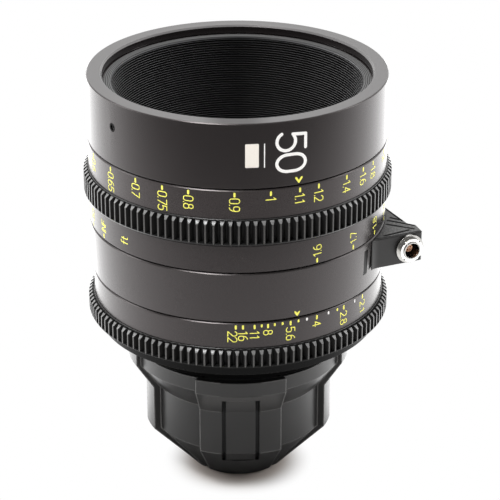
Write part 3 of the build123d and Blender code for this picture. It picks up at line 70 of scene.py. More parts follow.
class Wire:
    """A socket that carries a value or a colour; sums on it add the nodes that work them out."""

    def __init__(self, finish, socket):
        self.finish = finish
        self.socket = socket

    def maths(self, operation, other=0.0, swapped=False):
        values = {0: other, 1: self} if swapped else {0: self, 1: other}
        return self.finish.node("ShaderNodeMath", {"operation": operation}, values)

    def __abs__(self):
        return self.maths("ABSOLUTE")

    def __add__(self, other):
        return self.maths("ADD", other)

    def __radd__(self, other):
        return self.maths("ADD", other, True)

    def __sub__(self, other):
        return self.maths("SUBTRACT", other)

    def __rsub__(self, other):
        return self.maths("SUBTRACT", other, True)

    def __mul__(self, other):
        return self.maths("MULTIPLY", other)

    def __rmul__(self, other):
        return self.maths("MULTIPLY", other, True)

    def __truediv__(self, other):
        return self.maths("DIVIDE", other)

    def __pow__(self, other):
        return self.maths("POWER", other)

    def off_middle(self):
        """How far the value is from the middle between the whole numbers on its two sides."""
        return abs(self.maths("FRACT") - 0.5)

    def step(self, start, end):
        """Runs smoothly from 0 to 1 as the value goes from start up, or down, to end."""
        return self.finish.node("ShaderNodeMapRange", {"interpolation_type": "SMOOTHSTEP"},
                                {"Value": self, "From Min": start, "From Max": end})


def apart(across, up):
    """The distance that two distances at right angles add up to."""
    return (across * across + up * up) ** 0.5


class Finish:
    """A material while it is being made: its tree of nodes and the shader that they feed."""

    def __init__(self, name, holder=None, **fixed):
        self.holder = holder or bpy.data.materials.new(name)
        self.holder.use_nodes = True
        self.tree = self.holder.node_tree
        self.shader = self.tree.nodes.get("Principled BSDF")
        for socket, value in fixed.items():
            self.feed(socket.replace("_", " ").title().replace("Ior", "IOR"), value)

    def node(self, kind, settings=None, sockets=None, out=0):
        made = self.tree.nodes.new(kind)
        for key, value in (settings or {}).items():
            setattr(made, key, value)
        for key, value in (sockets or {}).items():
            self.join(made.inputs[key], value)
        return Wire(self, made.outputs[out])

    def join(self, socket, value):
        """Link a wire to the socket or set its value; one number on a colour is a grey."""
        if isinstance(value, Wire):
            self.tree.links.new(value.socket, socket)
        elif socket.type == "RGBA":
            colour = value if isinstance(value, tuple) else (value, value, value)
            socket.default_value = (*colour, 1.0)
        else:
            socket.default_value = value

    def feed(self, socket, value):
        self.join(self.shader.inputs[socket], value)

    def place(self):
        return self.node("ShaderNodeTexCoord", out=3)

    def axis(self, name):
        return self.node("ShaderNodeSeparateXYZ", None, {0: self.place()}, out="XYZ".index(name))

    def round_place(self):
        """X, Y and Z, and how far from the lens's axis."""
        x, y, z = (self.axis(name) for name in "XYZ")
        return x, y, z, apart(x, y)

    def noise(self, size, detail=2.0, stretch=(1.0, 1.0, 1.0), seed=0.0):
        """Noise from 0 to 1 in patches of that size in metres, longer where stretch is small."""
        moved = self.node("ShaderNodeMapping", {"vector_type": "POINT"}, {
            "Vector": self.place(), "Location": (seed, seed, seed), "Scale": stretch})
        return self.node("ShaderNodeTexNoise", None, {
            "Vector": moved, "Scale": 1.0 / size, "Detail": detail, "Roughness": 0.55})

    def blend(self, share, first, second):
        return self.node("ShaderNodeMix", {"data_type": "RGBA"},
                         {0: share, 6: first, 7: second}, out=2)

    def edge_wear_and_highlight(self, radius, flat=0.98, reach=0.18):
        """1 on edges, 0 away from them: how far normals rounded by that radius turn away."""
        rounded = self.node("ShaderNodeBevel", {"samples": 6}, {"Radius": radius})
        plain = self.node("ShaderNodeNewGeometry", out=1)
        agree = self.node("ShaderNodeVectorMath", {"operation": "DOT_PRODUCT"},
                          {0: rounded, 1: plain}, out=1)
        return agree.step(flat, flat - reach)

    def bump(self, height, depth, strength=1.0, edge=0.0):
        """Normals from a height pattern that is that deep in metres, over rounded edges."""
        sockets = {"Height": height, "Distance": depth, "Strength": strength}
        if edge:
            sockets["Normal"] = self.node("ShaderNodeBevel", {"samples": 6}, {"Radius": edge})
        self.feed("Normal", self.node("ShaderNodeBump", None, sockets))

    def light(self, kind, strength, colour=1.0):
        """A shader that only shines: Emission for a surface, Background for the room."""
        return self.node("ShaderNode" + kind, None, {"Color": colour, "Strength": strength})

    def own(self):
        return Wire(self, self.shader.outputs[0])

    def cover(self, share, under, over):
        return self.node("ShaderNodeMixShader", None, {0: share, 1: under, 2: over})

    def show(self, surface):
        nodes = self.tree.nodes
        output = nodes.get("Material Output") or nodes["World Output"]
        self.join(output.inputs["Surface"], surface)

    def blacken(self, share, tone, roughness, specular):
        """Where the share is 1, a dull black of that tone shows in place of the finish."""
        dull = self.node("ShaderNodeBsdfPrincipled", None, {
            "Base Color": tone, "Roughness": roughness, "Specular IOR Level": specular})
        self.show(self.cover(share, self.own(), dull))


# Floor: a matt white table top that keeps the shadow and runs out to plain white.
floor_size = 3.0
floor_corners = ((-1, -1), (1, -1), (1, 1), (-1, 1))
floor_mesh = bpy.data.meshes.new("floor")
floor_mesh.from_pydata([(x * floor_size, y * floor_size, 0.0) for x, y in floor_corners],
                       [], [(0, 1, 2, 3)])
floor = bpy.data.objects.new("floor", floor_mesh)
bpy.context.scene.collection.objects.link(floor)
floor_paint = Finish("floor_paint", roughness=0.9, specular_ior_level=0.0)
floor_mesh.materials.append(floor_paint.holder)
far = floor_paint.node("ShaderNodeVectorMath", {"operation": "LENGTH"},
                       {0: floor_paint.place()}, out=1)
behind = floor_paint.axis("Y") / far

# A painted shadow darkens the table's own colour at the foot of the lens: a warm grey that reaches
# furthest in front.
from_foot = far + 0.0018 + 0.0042 * behind
off_painted_shadow = from_foot.step(0.0135, 0.024)
floor_paint.feed("Base Color", floor_paint.blend(off_painted_shadow, (0.72, 0.64, 0.59), (0.93, 0.9, 0.875)))
off_shadow = from_foot.step(0.0155, 0.027)
camera_ray = floor_paint.node("ShaderNodeLightPath", out=0)
floor_seen = floor_paint.cover(off_shadow * camera_ray, floor_paint.own(),
                               floor_paint.light("Emission", 1.0))

# What polished black shows of the table: bright behind and beside the lens, falling off in
# front of it.
full_glow = 10.0
least_glow = 0.3
table_glow = 2.15 + 1.65 * behind + (3.8 - 5.2 * behind) * (0.3 - far)
table_glow = table_glow.maths("MAXIMUM", least_glow) * far.step(0.01, 0.12 - 0.09 * behind)
table_light = floor_paint.node("ShaderNodeMixShader", None, {
    0: table_glow / full_glow, 2: floor_paint.light("Emission", full_glow)})
gloss_ray = floor_paint.node("ShaderNodeLightPath", out=3)
floor_paint.show(floor_paint.cover(gloss_ray, floor_seen, table_light))

# Studio: white all round for the camera, bright behind and beside the lens, dim in front.
studio = bpy.data.worlds.new("studio")
bpy.context.scene.world = studio
room_white = (1.0, 0.995, 0.99)
sweep = Finish("studio", studio)
toward = sweep.node("ShaderNodeTexCoord", out=0)
ahead = sweep.node("ShaderNodeSeparateXYZ", None, {0: toward}, out=1)
room = sweep.cover(ahead.step(-0.6, 0.7), sweep.light("Background", 0.25, room_white),
                   sweep.light("Background", 1.5, room_white))
camera_looks = sweep.node("ShaderNodeLightPath", out=0)
sweep.show(sweep.cover(camera_looks, room, sweep.light("Background", 1.0)))


def soft_box(name, place, aim, width, height, power):
    """An area lamp that looks at a point; the camera doesn't see the lamp itself."""
    data = bpy.data.lights.new(name, "AREA")
    data.shape = "RECTANGLE"
    data.size = width
    data.size_y = height
    data.energy = power
    lamp = bpy.data.objects.new(name, data)
    lamp.location = place
    lamp.rotation_euler = (Vector(aim) - Vector(place)).to_track_quat("-Z", "Y").to_euler()
    lamp.visible_camera = False
    bpy.context.scene.collection.objects.link(lamp)


soft_box("top_box", (0.0, 0.15, 0.85), (0.0, 0.0, 0.1), 0.7, 0.5, 5.0)
soft_box("left_strip", (-0.75, 0.1, 0.35), (0.0, 0.0, 0.08), 0.25, 0.7, 2.5)
soft_box("right_strip", (0.75, 0.1, 0.35), (0.0, 0.0, 0.08), 0.25, 0.7, 2.5)
soft_box("front_box", (-0.18, -0.27, 0.64), (0.0, 0.0, 0.1), 0.2, 0.16, 2.6)


# ---------------------------------------------------------------- inner tube and drives
# The inner sleeve and the iris base plate are fine turned from aluminium and stained dark;
# the helicoid ring is brass so that it runs dry in the sleeve, and keys, pins and screws
# are plain steel.
def dress(finish, *nodes):
    """Give CAD nodes this finish in every material slot."""
    for node in nodes:
        for slot in frame["nodes"][node].material_slots:
            slot.material = finish.holder


def shade(colour, times, plus=0.0):
    return tuple(min(1.0, times * part + plus) for part in colour)


def turned_metal(name, colour, roughness, ring_depth=0.000004, edge=0.0002):
    """Bare metal off the lathe: fine rings round the axis, dull patches and small nicks."""
    metal = Finish(name, metallic=1.0)
    rings = metal.noise(0.00016, 1.0, (0.02, 0.02, 1.0))
    patches = metal.noise(0.009, 3.0)
    nicks = metal.noise(0.0011, 4.0).step(0.72, 0.78)
    metal.feed("Base Color", metal.blend(0.6 * patches + 0.3 * nicks, colour, shade(colour, 0.72)))
    metal.feed("Roughness", roughness + 0.16 * (patches - 0.5) + 0.1 * (rings - 0.5))
    metal.bump(rings + 0.5 * nicks, ring_depth, 1.0, edge)
    return metal


dress(turned_metal("dark_aluminium", (0.055, 0.055, 0.058), 0.42),
      "inner_sleeve", "iris_base_plate")
dress(turned_metal("helicoid_brass", (0.78, 0.58, 0.28), 0.3), "helicoid_ring")
dress(turned_metal("tool_steel", (0.5, 0.49, 0.48), 0.32),
      "focus_key", "guide_keys", "cam_stop_ring")
bright_steel = turned_metal("bright_steel", (0.66, 0.65, 0.63), 0.26)
dress(bright_steel, "iris_drive_screw", "iris_housing_screws", "base_plate_screws", "mount_screws")


# ---------------------------------------------------------------- thrust washers and shim
# The focus ring turns between two thin washers of slippery white plastic, and the mount is
# set to its distance by a brass-coloured shim of rolled foil.
def moulded(name, colour, roughness, grain=0.00025, edge=0.0003, specular=0.5):
    """Moulded plastic: an even skin with a fine spark texture, slightly uneven in colour."""
    plastic = Finish(name, specular_ior_level=specular)
    skin = plastic.noise(grain, 2.0)
    flow = plastic.noise(0.014, 2.0, seed=3.0)
    lighter = shade(colour, 1.22, 0.002)
    plastic.feed("Base Color", plastic.blend(0.75 * flow + 0.25 * skin, colour, lighter))
    plastic.feed("Roughness", roughness + 0.12 * (flow - 0.5) + 0.1 * (skin - 0.5))
    plastic.bump(skin, 0.000006, 0.8, edge)
    return plastic


dress(moulded("washer_plastic", (0.7, 0.68, 0.62), 0.45, edge=0.0001), "thrust_washers")
dress(turned_metal("shim_foil", (0.74, 0.62, 0.36), 0.24, 0.000002, 0.00005), "mount_shim")


# ---------------------------------------------------------------- black cells of the glass
# The cells, spacers and retaining rings are turned from aluminium and anodised a dull black
# so that no light runs round the glass.
def black_coat(name, colour, roughness, specular=0.5, grain=0.0002, grain_depth=0.000004,
               rings=0.0, edge=0.00025, tint=1.0):
    """Anodised or lacquered black: fine grain, faint turning rings, slightly uneven tone."""
    coat = Finish(name, specular_ior_level=specular, specular_tint=tint)
    speck = coat.noise(grain, 1.0)
    cloud = coat.noise(0.02, 3.0, seed=7.0)
    lathe = coat.noise(0.0003, 1.0, (0.01, 0.01, 1.0), seed=1.0)
    tone = coat.blend(0.5 * cloud + 0.3 * speck + 0.2 * lathe, colour, shade(colour, 1.5, 0.001))
    dust = coat.noise(0.0007, 2.0, seed=4.0).step(0.77, 0.8)
    dusty = coat.blend(0.5 * dust, tone, (0.16, 0.155, 0.15))
    # Edges are painted paler: partly wear of the coat, partly a painted highlight.
    coat.feed("Base Color", coat.blend(0.5 * coat.edge_wear_and_highlight(1.2 * edge), dusty, (0.15, 0.148, 0.145)))
    coat.feed("Roughness", roughness + 0.1 * (cloud - 0.5) + 0.08 * (speck - 0.5))
    coat.bump(speck + rings * lathe, grain_depth, 0.7, edge)
    return coat


cell_black = black_coat("cell_black", (0.012, 0.012, 0.013), 0.5, 0.4, rings=1.5)
dress(cell_black, "focus_cell", "focus_retaining_ring", "focus_glass_spacer", "rear_cell",
      "rear_front_ring", "rear_back_ring", "iris_housing", "iris_cam_ring")
dress(bright_steel, "rear_cell_screws")


# ---------------------------------------------------------------- glass elements
# Ground and polished crown glass with a thin purple-green anti-reflection coating, and a
# blackened ground edge that the cell hides.
lens_glass = Finish("lens_glass", base_color=(0.66, 0.67, 0.7), ior=1.58, transmission_weight=1.0,
                    thin_film_thickness=112.0, thin_film_ior=1.38)
glass_dust = lens_glass.noise(0.0006, 3.0).step(0.74, 0.8)
lens_glass.feed("Roughness", 0.004 + 0.03 * glass_dust)
dress(lens_glass, "focus_glass_front", "focus_glass_rear", "rear_glass_front", "rear_glass_back")


# ---------------------------------------------------------------- iris blades
# Eight thin blades of blackened spring steel, each polished a little where it slides on its
# neighbour.
blade_steel = Finish("blade_steel", metallic=0.85)
polish = blade_steel.noise(0.004, 3.0)
grind = blade_steel.noise(0.00025, 1.0, (1.0, 0.06, 1.0))
blade_steel.feed("Base Color", blade_steel.blend(polish, (0.05, 0.05, 0.055), (0.11, 0.11, 0.115)))
blade_steel.feed("Roughness", 0.36 + 0.14 * polish - 0.1 * grind)
blade_steel.bump(grind, 0.000002, 0.6)
dress(blade_steel, *["iris_blade_%d" % (blade + 1) for blade in range(8)])


# ---------------------------------------------------------------- lens mount
# The mount is hard chromed steel, ground flat on its register face; only its edge shows
# above the rear cap.
dress(turned_metal("mount_chrome", (0.2, 0.2, 0.205), 0.3, 0.000002), "lens_mount")


# ---------------------------------------------------------------- light baffle
# A funnel turned from aluminium and dyed deep black, with a flat grey ledge under the
# filter thread and a screw-cut run of sharp ribs that kill stray light.
baffle_top = 0.1355
baffle_foot = 0.1035
mouth_radius = 0.0398
foot_radius = 0.0334
foot_width = 0.0036
flange_radius = 0.04195
flange_height = 0.002
wall_radius = 0.0414
rib_pitch = 0.00075
rib_depth = 0.00045
rib_count = 38
first_rib = 0.1345
segments = 288
turned_crease = 28.0


def closed_ring(name, outline):
    """A turned piece from a closed anticlockwise outline of (radius, height) points."""
    verts = []
    for step in range(segments):
        turn = 2 * pi * step / segments
        verts.extend((radius * cos(turn), radius * sin(turn), height) for radius, height in outline)
    count = len(outline)
    faces = []
    for step in range(segments):
        here = step * count
        there = (step + 1) % segments * count
        for corner in range(count):
            after = (corner + 1) % count
            faces.append((here + corner, there + corner, there + after, here + after))
    mesh = bpy.data.meshes.new(name)
    mesh.from_pydata(verts, [], faces)
    return finish_mesh(name, mesh, turned_crease)


def finish_mesh(name, mesh, crease):
    """Merge doubles, point the faces outwards, shade smooth up to the crease angle, link it."""
    work = bmesh.new()
    work.from_mesh(mesh)
    bmesh.ops.remove_doubles(work, verts=work.verts, dist=1e-7)
    bmesh.ops.recalc_face_normals(work, faces=work.faces)
    work.to_mesh(mesh)
    work.free()
    mesh.shade_smooth()
    mesh.set_sharp_from_angle(angle=radians(crease))
    piece = bpy.data.objects.new(name, mesh)
    bpy.context.scene.collection.objects.link(piece)
    return piece


class Nodes:
    """A tree of geometry nodes with named inputs, and the plain mesh that it makes."""

    def __init__(self, name, **inputs):
        self.tree = bpy.data.node_groups.new(name, "GeometryNodeTree")
        self.ids = {}
        for label, kind in (("Geometry", "Geometry"), *inputs.items()):
            made = self.tree.interface.new_socket(label, in_out="INPUT",
                                                  socket_type="NodeSocket" + kind)
            self.ids[label] = made.identifier
        self.tree.interface.new_socket("Geometry", in_out="OUTPUT",
                                       socket_type="NodeSocketGeometry")
        self.start = self.tree.nodes.new("NodeGroupInput")

    def given(self, label):
        return self.start.outputs[label]

    def add(self, kind, settings=None, sockets=None, out=0):
        made = self.tree.nodes.new(kind)
        for key, value in (settings or {}).items():
            setattr(made, key, value)
        for key, value in (sockets or {}).items():
            for one in value if isinstance(value, list) else [value]:
                if isinstance(one, bpy.types.NodeSocket):
                    self.tree.links.new(one, made.inputs[key])
                else:
                    made.inputs[key].default_value = one
        return made.outputs[out]

    def maths(self, operation, *values):
        return self.add("ShaderNodeMath", {"operation": operation}, dict(enumerate(values)))

    def vector(self, x, y, z):
        return self.add("ShaderNodeCombineXYZ", None, {0: x, 1: y, 2: z})

    def set_copies(self, points, piece, **sockets):
        """End the tree with copies of a given piece on the points, joined to the base."""
        one = self.add("GeometryNodeObjectInfo", None, {"Object": self.given(piece)}, out=4)
        copies = self.add("GeometryNodeInstanceOnPoints", None,
                          {"Points": points, "Instance": one, **sockets})
        self.close(self.add("GeometryNodeJoinGeometry", None,
                            {0: [copies, self.given("Geometry")]}))

    def close(self, geometry):
        """End the tree: real geometry, with its material on it."""
        real = self.add("GeometryNodeRealizeInstances", None, {0: geometry})
        painted = self.add("GeometryNodeSetMaterial", None,
                           {0: real, "Material": self.given("Finish")})
        end = self.tree.nodes.new("NodeGroupOutput")
        self.tree.links.new(painted, end.inputs[0])

    def make(self, name, base, crease, **values):
        """Run the tree on a base piece with these inputs; the base becomes the plain result."""
        run = base.modifiers.new("shape", "NODES")
        run.node_group = self.tree
        for label, value in values.items():
            run[self.ids[label]] = value
        ready = base.evaluated_get(bpy.context.evaluated_depsgraph_get())
        mesh = bpy.data.meshes.new_from_object(ready)
        mesh.name = name
        bpy.data.objects.remove(base)
        return finish_mesh(name, mesh, crease)


# One rib is a thin ring with a sharp inner edge; the tree sets a row of them down the
# funnel, each a little smaller than the one above.
middle_radius = (mouth_radius + foot_radius) / 2
rib_foot = middle_radius + rib_depth
rib_piece = closed_ring("rib", [
    (middle_radius, 0.0),
    (rib_foot, -rib_pitch / 2),
    (rib_foot + 0.0002, -rib_pitch / 2),
    (rib_foot + 0.0002, rib_pitch / 2),
    (rib_foot, rib_pitch / 2),
])
ribs = Nodes("ribbed_funnel", Rib="Object", Count="Int", Pitch="Float", First="Float",
             Start_Scale="Float", Scale_Step="Float", Finish="Material")
row = ribs.add("GeometryNodeMeshLine", {"mode": "OFFSET"}, {
    "Count": ribs.given("Count"),
    "Start Location": ribs.vector(0.0, 0.0, ribs.given("First")),
    "Offset": ribs.vector(0.0, 0.0, ribs.maths("MULTIPLY", ribs.given("Pitch"), -1.0)),
})
shrink = ribs.maths("MULTIPLY_ADD", ribs.add("GeometryNodeInputIndex"),
                    ribs.given("Scale_Step"), ribs.given("Start_Scale"))
ribs.set_copies(row, "Rib", Scale=ribs.vector(shrink, shrink, 1.0))

# The funnel itself is a closed wall that leans in towards its foot, set back behind the ribs.
slope = (mouth_radius - foot_radius) / (baffle_top - baffle_foot)
last_rib = first_rib - rib_count * rib_pitch
set_back = 0.0001


def funnel_radius(height):
    return mouth_radius - slope * (baffle_top - height)


body_outline = [
    (mouth_radius, baffle_top),
    (funnel_radius(first_rib) + set_back, first_rib + rib_pitch / 2),
    (funnel_radius(first_rib) + rib_depth + set_back, first_rib),
    (funnel_radius(last_rib) + rib_depth + set_back, last_rib + rib_pitch / 2),
    (funnel_radius(last_rib), last_rib),
    (foot_radius, baffle_foot),
    (foot_radius + foot_width, baffle_foot),
    (wall_radius, baffle_foot + foot_width),
    (wall_radius, baffle_top - flange_height),
    (flange_radius, baffle_top - flange_height),
    (flange_radius, baffle_top),
]

# The ribs' sharp edges and the ledge's turning rings are painted paler as a painted
# highlight, brightest at the two sides.
baffle_black = Finish("baffle_black", specular_ior_level=0.04)
dye = baffle_black.noise(0.006, 3.0)
baffle_x, _, baffle_z, baffle_radius = baffle_black.round_place()
at_side = abs(baffle_x / baffle_radius)
rib_hollow = baffle_radius - funnel_radius(0.0) - slope * baffle_z
rib_edge = rib_hollow.step(0.00006, 0.00001)
rib_tone = baffle_black.blend(rib_edge * (0.2 + 0.8 * at_side), 0.0001, (0.22, 0.22, 0.225))
ledge_ring_highlights = (baffle_radius * 11500.0).maths("SINE") * at_side ** 3.0
ledge_tone = baffle_black.blend(0.5 + 0.5 * ledge_ring_highlights, 0.004, 0.13)
on_ledge = baffle_z.step(baffle_top - 0.0003, baffle_top - 0.0001)
baffle_black.feed("Base Color", baffle_black.blend(on_ledge, rib_tone, ledge_tone))
baffle_black.feed("Roughness", 0.42 + 0.12 * dye + 0.1 * on_ledge)
baffle_black.bump(dye, 0.00001, 0.4)
light_baffle = ribs.make(
    "ribbed_light_baffle", closed_ring("baffle_body", body_outline), 20.0,
    Rib=rib_piece, Count=rib_count, Pitch=rib_pitch, First=first_rib,
    Start_Scale=funnel_radius(first_rib) / middle_radius,
    Scale_Step=-slope * rib_pitch / middle_radius, Finish=baffle_black.holder)
bpy.data.objects.remove(rib_piece)
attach(light_baffle, "barrel")
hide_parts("light_baffle")


# ---------------------------------------------------------------- fixed barrels
# Front and middle barrels are turned tubes of aluminium, bead blasted and anodised a warm
# satin black, with a small break on every turned edge painted paler, partly as wear of the
# coat and partly as a painted highlight.
front_face = 0.1385
bevel_radius = 0.0432
warm_sheen = (1.0, 0.92, 0.92)
barrel_black = black_coat("barrel_black", (0.0078, 0.0065, 0.0065), 0.26, rings=0.4,
                          edge=0.00015, tint=warm_sheen)
dress(barrel_black, "mid_shell")

# The faced rim of the front barrel is duller than the wall and painted paler as a painted
# sheen; the bevel inside it is painted paler still as a painted highlight, and a patch of
# the rim nearest the front of the lens is painted darker as a painted reflection.
front_black = black_coat("front_black", (0.008, 0.0066, 0.0066), 0.26, grain_depth=0.0000025,
                         rings=0.4, edge=0.0002, tint=warm_sheen)
wall_tone = Wire(front_black, front_black.shader.inputs["Base Color"].links[0].from_socket)
front_x, front_y, front_z, front_radius = front_black.round_place()
on_rim = front_z.step(front_face - 0.00014, front_face - 0.00004)
on_bevel = (front_z.step(front_face - 0.0007, front_face - 0.0005)
            * front_radius.step(bevel_radius, bevel_radius - 0.0001))
painted_reflection_patch = front_y.step(-0.02, -0.04) * abs(front_x).step(0.012, 0.003)
rim_sheen_and_reflection = front_black.blend(painted_reflection_patch, 0.06, 0.01)
front_tone = front_black.blend(on_rim, wall_tone, rim_sheen_and_reflection)
front_black.feed("Base Color", front_black.blend(0.7 * on_bevel, front_tone, 0.12))
front_black.feed("Roughness", 0.26 + 0.16 * on_rim)

# Round its two grub screw holes, opposite each other, painted shade blacks out a ring wider than
# the holes, like dead black countersunk mouths.
hole_height = front_face - 0.0084
hole_turn = radians(37.3)
mouth_edge = 0.0016
hole_side = sin(hole_turn) * front_x - cos(hole_turn) * front_y
from_hole = apart(hole_side, front_z - hole_height)
in_mouth = from_hole.step(mouth_edge, mouth_edge - 0.00035)
front_black.blacken(0.95 * in_mouth, 0.002, 0.6, 0.05)
dress(front_black, "front_shell")

# The rear barrel is lacquered glossy black instead, and its tapered neck is painted a dull black as
# painted shade.
neck_top = 0.0542
rear_gloss = black_coat("rear_gloss", (0.0015, 0.0015, 0.0015), 0.12, 0.07, grain=0.0006,
                        grain_depth=0.000002)
on_neck = rear_gloss.axis("Z").step(neck_top, neck_top - 0.0002)
rear_gloss.blacken(on_neck, 0.001, 0.5, 0.02)
dress(rear_gloss, "rear_barrel")

# Black steel grub screws lock the barrels from the side.
dress(black_coat("black_steel", (0.02, 0.02, 0.02), 0.4, 0.7, edge=0.00008),
      "front_grub_screws", "rear_grub_screws", "housing_screws")


# ---------------------------------------------------------------- focus and iris rings
# The rings that turn are turned from the same aluminium and anodised with the barrels, and
# they carry the marks.
ring_black = black_coat("ring_black", (0.0086, 0.0071, 0.0071), 0.26, rings=0.5,
                        edge=0.00015, tint=warm_sheen)
dress(ring_black, "focus_scale_band", "iris_ring")
ring_pale = black_coat("ring_pale", (0.0165, 0.0138, 0.0138), 0.27, rings=0.5,
                       edge=0.00015, tint=warm_sheen)
dress(ring_pale, "focus_ring")


# ---------------------------------------------------------------- geared bands
# Follow focus gears of module 0.8, hobbed in black anodised aluminium: narrow lands, round
# roots, the upper end of each tooth chamfered, a smooth shoulder below.
gear_module = 0.0008
tooth_chamfer = 0.001
focus_teeth = 121
focus_gear_foot = 0.10035
focus_gear_top = 0.10745
iris_teeth = 120
iris_gear_foot = 0.0586
iris_gear_top = 0.0637
between_gears = 0.08


def tip_radius(teeth):
    return gear_module * (teeth + 2) / 2


def root_radius(teeth):
    return gear_module * (teeth - 2.5) / 2


def tooth_piece(teeth, foot, top):
    """One tooth with broken edges, in its place at the +X side of the band."""
    tip = tip_radius(teeth)
    root = root_radius(teeth)
    lean = tan(radians(20)) * gear_module
    tip_half = pi * gear_module / 4 - lean
    root_half = pi * gear_module / 4 + 1.25 * lean

    def half(radius):
        return root_half + (tip_half - root_half) * (radius - root) / (tip - root)

    verts = []
    for height, reach in ((foot, tip), (top - tooth_chamfer - 0.00008, tip),
                          (top - tooth_chamfer + 0.00004, tip - 0.00006),
                          (top - 0.00006, tip - tooth_chamfer + 0.00002),
                          (top, tip - tooth_chamfer - 0.00008)):
        shoulder = reach - 0.00009
        side = [(root - 0.0002, root_half * 1.04), (root, root_half * 1.03),
                (root + 0.00025, half(root + 0.00018)), (shoulder, half(shoulder)),
                (reach, half(reach) - 0.00006)]
        verts.extend((radius, -across, height) for radius, across in side)
        verts.extend((radius, across, height) for radius, across in reversed(side))
    corners = 10
    faces = [tuple(range(corners - 1, -1, -1)), tuple(range(4 * corners, 5 * corners))]
    for level in range(4):
        for corner in range(corners):
            here = level * corners + corner
            after = level * corners + (corner + 1) % corners
            faces.append((here, after, after + corners, here + corners))
    mesh = bpy.data.meshes.new("tooth")
    mesh.from_pydata(verts, [], faces)
    return finish_mesh("tooth", mesh, 40.0)


toothed = Nodes("toothed_band", Tooth="Object", Teeth="Int", Finish="Material")
wheel = toothed.add("GeometryNodeMeshCircle", None,
                    {"Vertices": toothed.given("Teeth"), "Radius": 0.0})
tooth_turn = toothed.maths("DIVIDE", 2 * pi, toothed.given("Teeth"))
turn = toothed.maths("MULTIPLY", toothed.add("GeometryNodeInputIndex"), tooth_turn)
toothed.set_copies(wheel, "Tooth", Rotation=toothed.vector(0.0, 0.0, turn))

# Both bands share one finish: the lands are painted paler, partly rubbing wear and partly a painted
# highlight, and the chamfers paler still as a painted highlight.
gear_black = Finish("gear_black")
gear_x, gear_y, gear_z, gear_radius = gear_black.round_place()
hob = gear_black.noise(0.0005, 2.0, (1.0, 1.0, 0.08))
rub_and_sheen = gear_black.noise(0.004, 3.0)
upper_gear = gear_z.step(between_gears, between_gears + 0.0001)


def by_gear(iris_value, focus_value):
    """A value that differs between the two bands."""
    return iris_value + (focus_value - iris_value) * upper_gear


above_foot = gear_z - by_gear(iris_gear_foot, focus_gear_foot)
below_top = by_gear(iris_gear_top, focus_gear_top) - gear_z
in_teeth = above_foot.step(-0.0002, -0.0001) * below_top.step(-0.00003, 0.00001)
inside_tip = by_gear(tip_radius(iris_teeth), tip_radius(focus_teeth)) - gear_radius
teeth_round = by_gear(iris_teeth, focus_teeth) / (2 * pi)
off_tooth = (gear_y.maths("ARCTAN2", gear_x) * teeth_round + 0.5).off_middle()
on_land = inside_tip.step(0.00014, 0.00004) * off_tooth.step(0.115, 0.075)
from_chamfer = below_top + inside_tip - tooth_chamfer
on_chamfer = from_chamfer.step(0.00012, 0.00004)
gear_tone = gear_black.blend(on_land * in_teeth * (0.5 + 0.5 * rub_and_sheen), (0.008, 0.0075, 0.0075),
                             (0.062, 0.06, 0.058))
gear_black.feed("Base Color", gear_black.blend(on_chamfer * in_teeth, gear_tone, 0.16))
gear_black.feed("Roughness", 0.32 + 0.1 * (hob - 0.5) - 0.04 * in_teeth)
gear_black.bump(hob, 0.000004, 0.6)

# Between the lands, and on the lower band's shoulder, a deep dull black is painted in as painted
# shade.
low_shoulder = (1.0 - upper_gear) * above_foot.step(-0.0001, -0.0002)
in_gap = in_teeth * (1.0 - on_land.maths("MAXIMUM", on_chamfer))
gear_black.blacken(in_gap.maths("MAXIMUM", low_shoulder), 0.013, 0.5, 0.08)


def geared_band(name, teeth, foot, top, seat, shoulder_foot, shoulder_radius, land_radius,
                body, node):
    """The turned blank with its shoulder and land, and the teeth that the tree sets round it."""
    tip = tip_radius(teeth)
    root = root_radius(teeth)
    blank = closed_ring(name + "_blank", [
        (seat, shoulder_foot),
        (shoulder_radius - 0.00008, shoulder_foot),
        (shoulder_radius + 0.00006, shoulder_foot + 0.0001),
        (tip - 0.0004, foot - 0.0006),
        (tip - 0.00022, foot - 0.00046),
        (tip - 0.0001, foot - 0.0002),
        (tip, foot - 0.00006),
        (tip - 0.00006, foot),
        (root, foot),
        (root, top),
        (land_radius - 0.00006, top),
        (land_radius, top + 0.00006),
        (land_radius, top + 0.00037),
        (land_radius - 0.00008, top + 0.00045),
        (seat, top + 0.00045),
    ])
    tooth = tooth_piece(teeth, foot, top)
    band = toothed.make(name, blank, 24.0, Tooth=tooth, Teeth=teeth, Finish=gear_black.holder)
    bpy.data.objects.remove(tooth)
    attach(band, body)
    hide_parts(node)


geared_band("focus_geared_band", focus_teeth, focus_gear_foot, focus_gear_top, seat=0.04613,
            shoulder_foot=0.09885, shoulder_radius=0.0475, land_radius=0.04785,
            body="focus_ring", node="focus_gear")
geared_band("iris_geared_band", iris_teeth, iris_gear_foot, iris_gear_top, seat=0.04543,
            shoulder_foot=0.0576, shoulder_radius=0.0468, land_radius=0.04715,
            body="iris_ring", node="iris_gear")


# ---------------------------------------------------------------- engraved numbers and marks
# Every number and line is cut with a round-ended engraving cutter and filled with paint:
# lime yellow for the scales, white for the focal length.
squareness = 0.78


def bend(x, y, across, up, start, end, points=9, square=squareness):
    """Points along an arc of a squarish ellipse, angles in degrees."""
    path = []
    for point in range(points):
        turn = radians(start + (end - start) * point / (points - 1))
        side = copysign(abs(cos(turn)) ** square, cos(turn))
        rise = copysign(abs(sin(turn)) ** square, sin(turn))
        path.append((x + across * side, y + up * rise))
    return path


six = [bend(0.28, 0.3, 0.28, 0.3, 0, 360, 19), bend(0.62, 0.3, 0.62, 0.72, 180, 104, 9)]
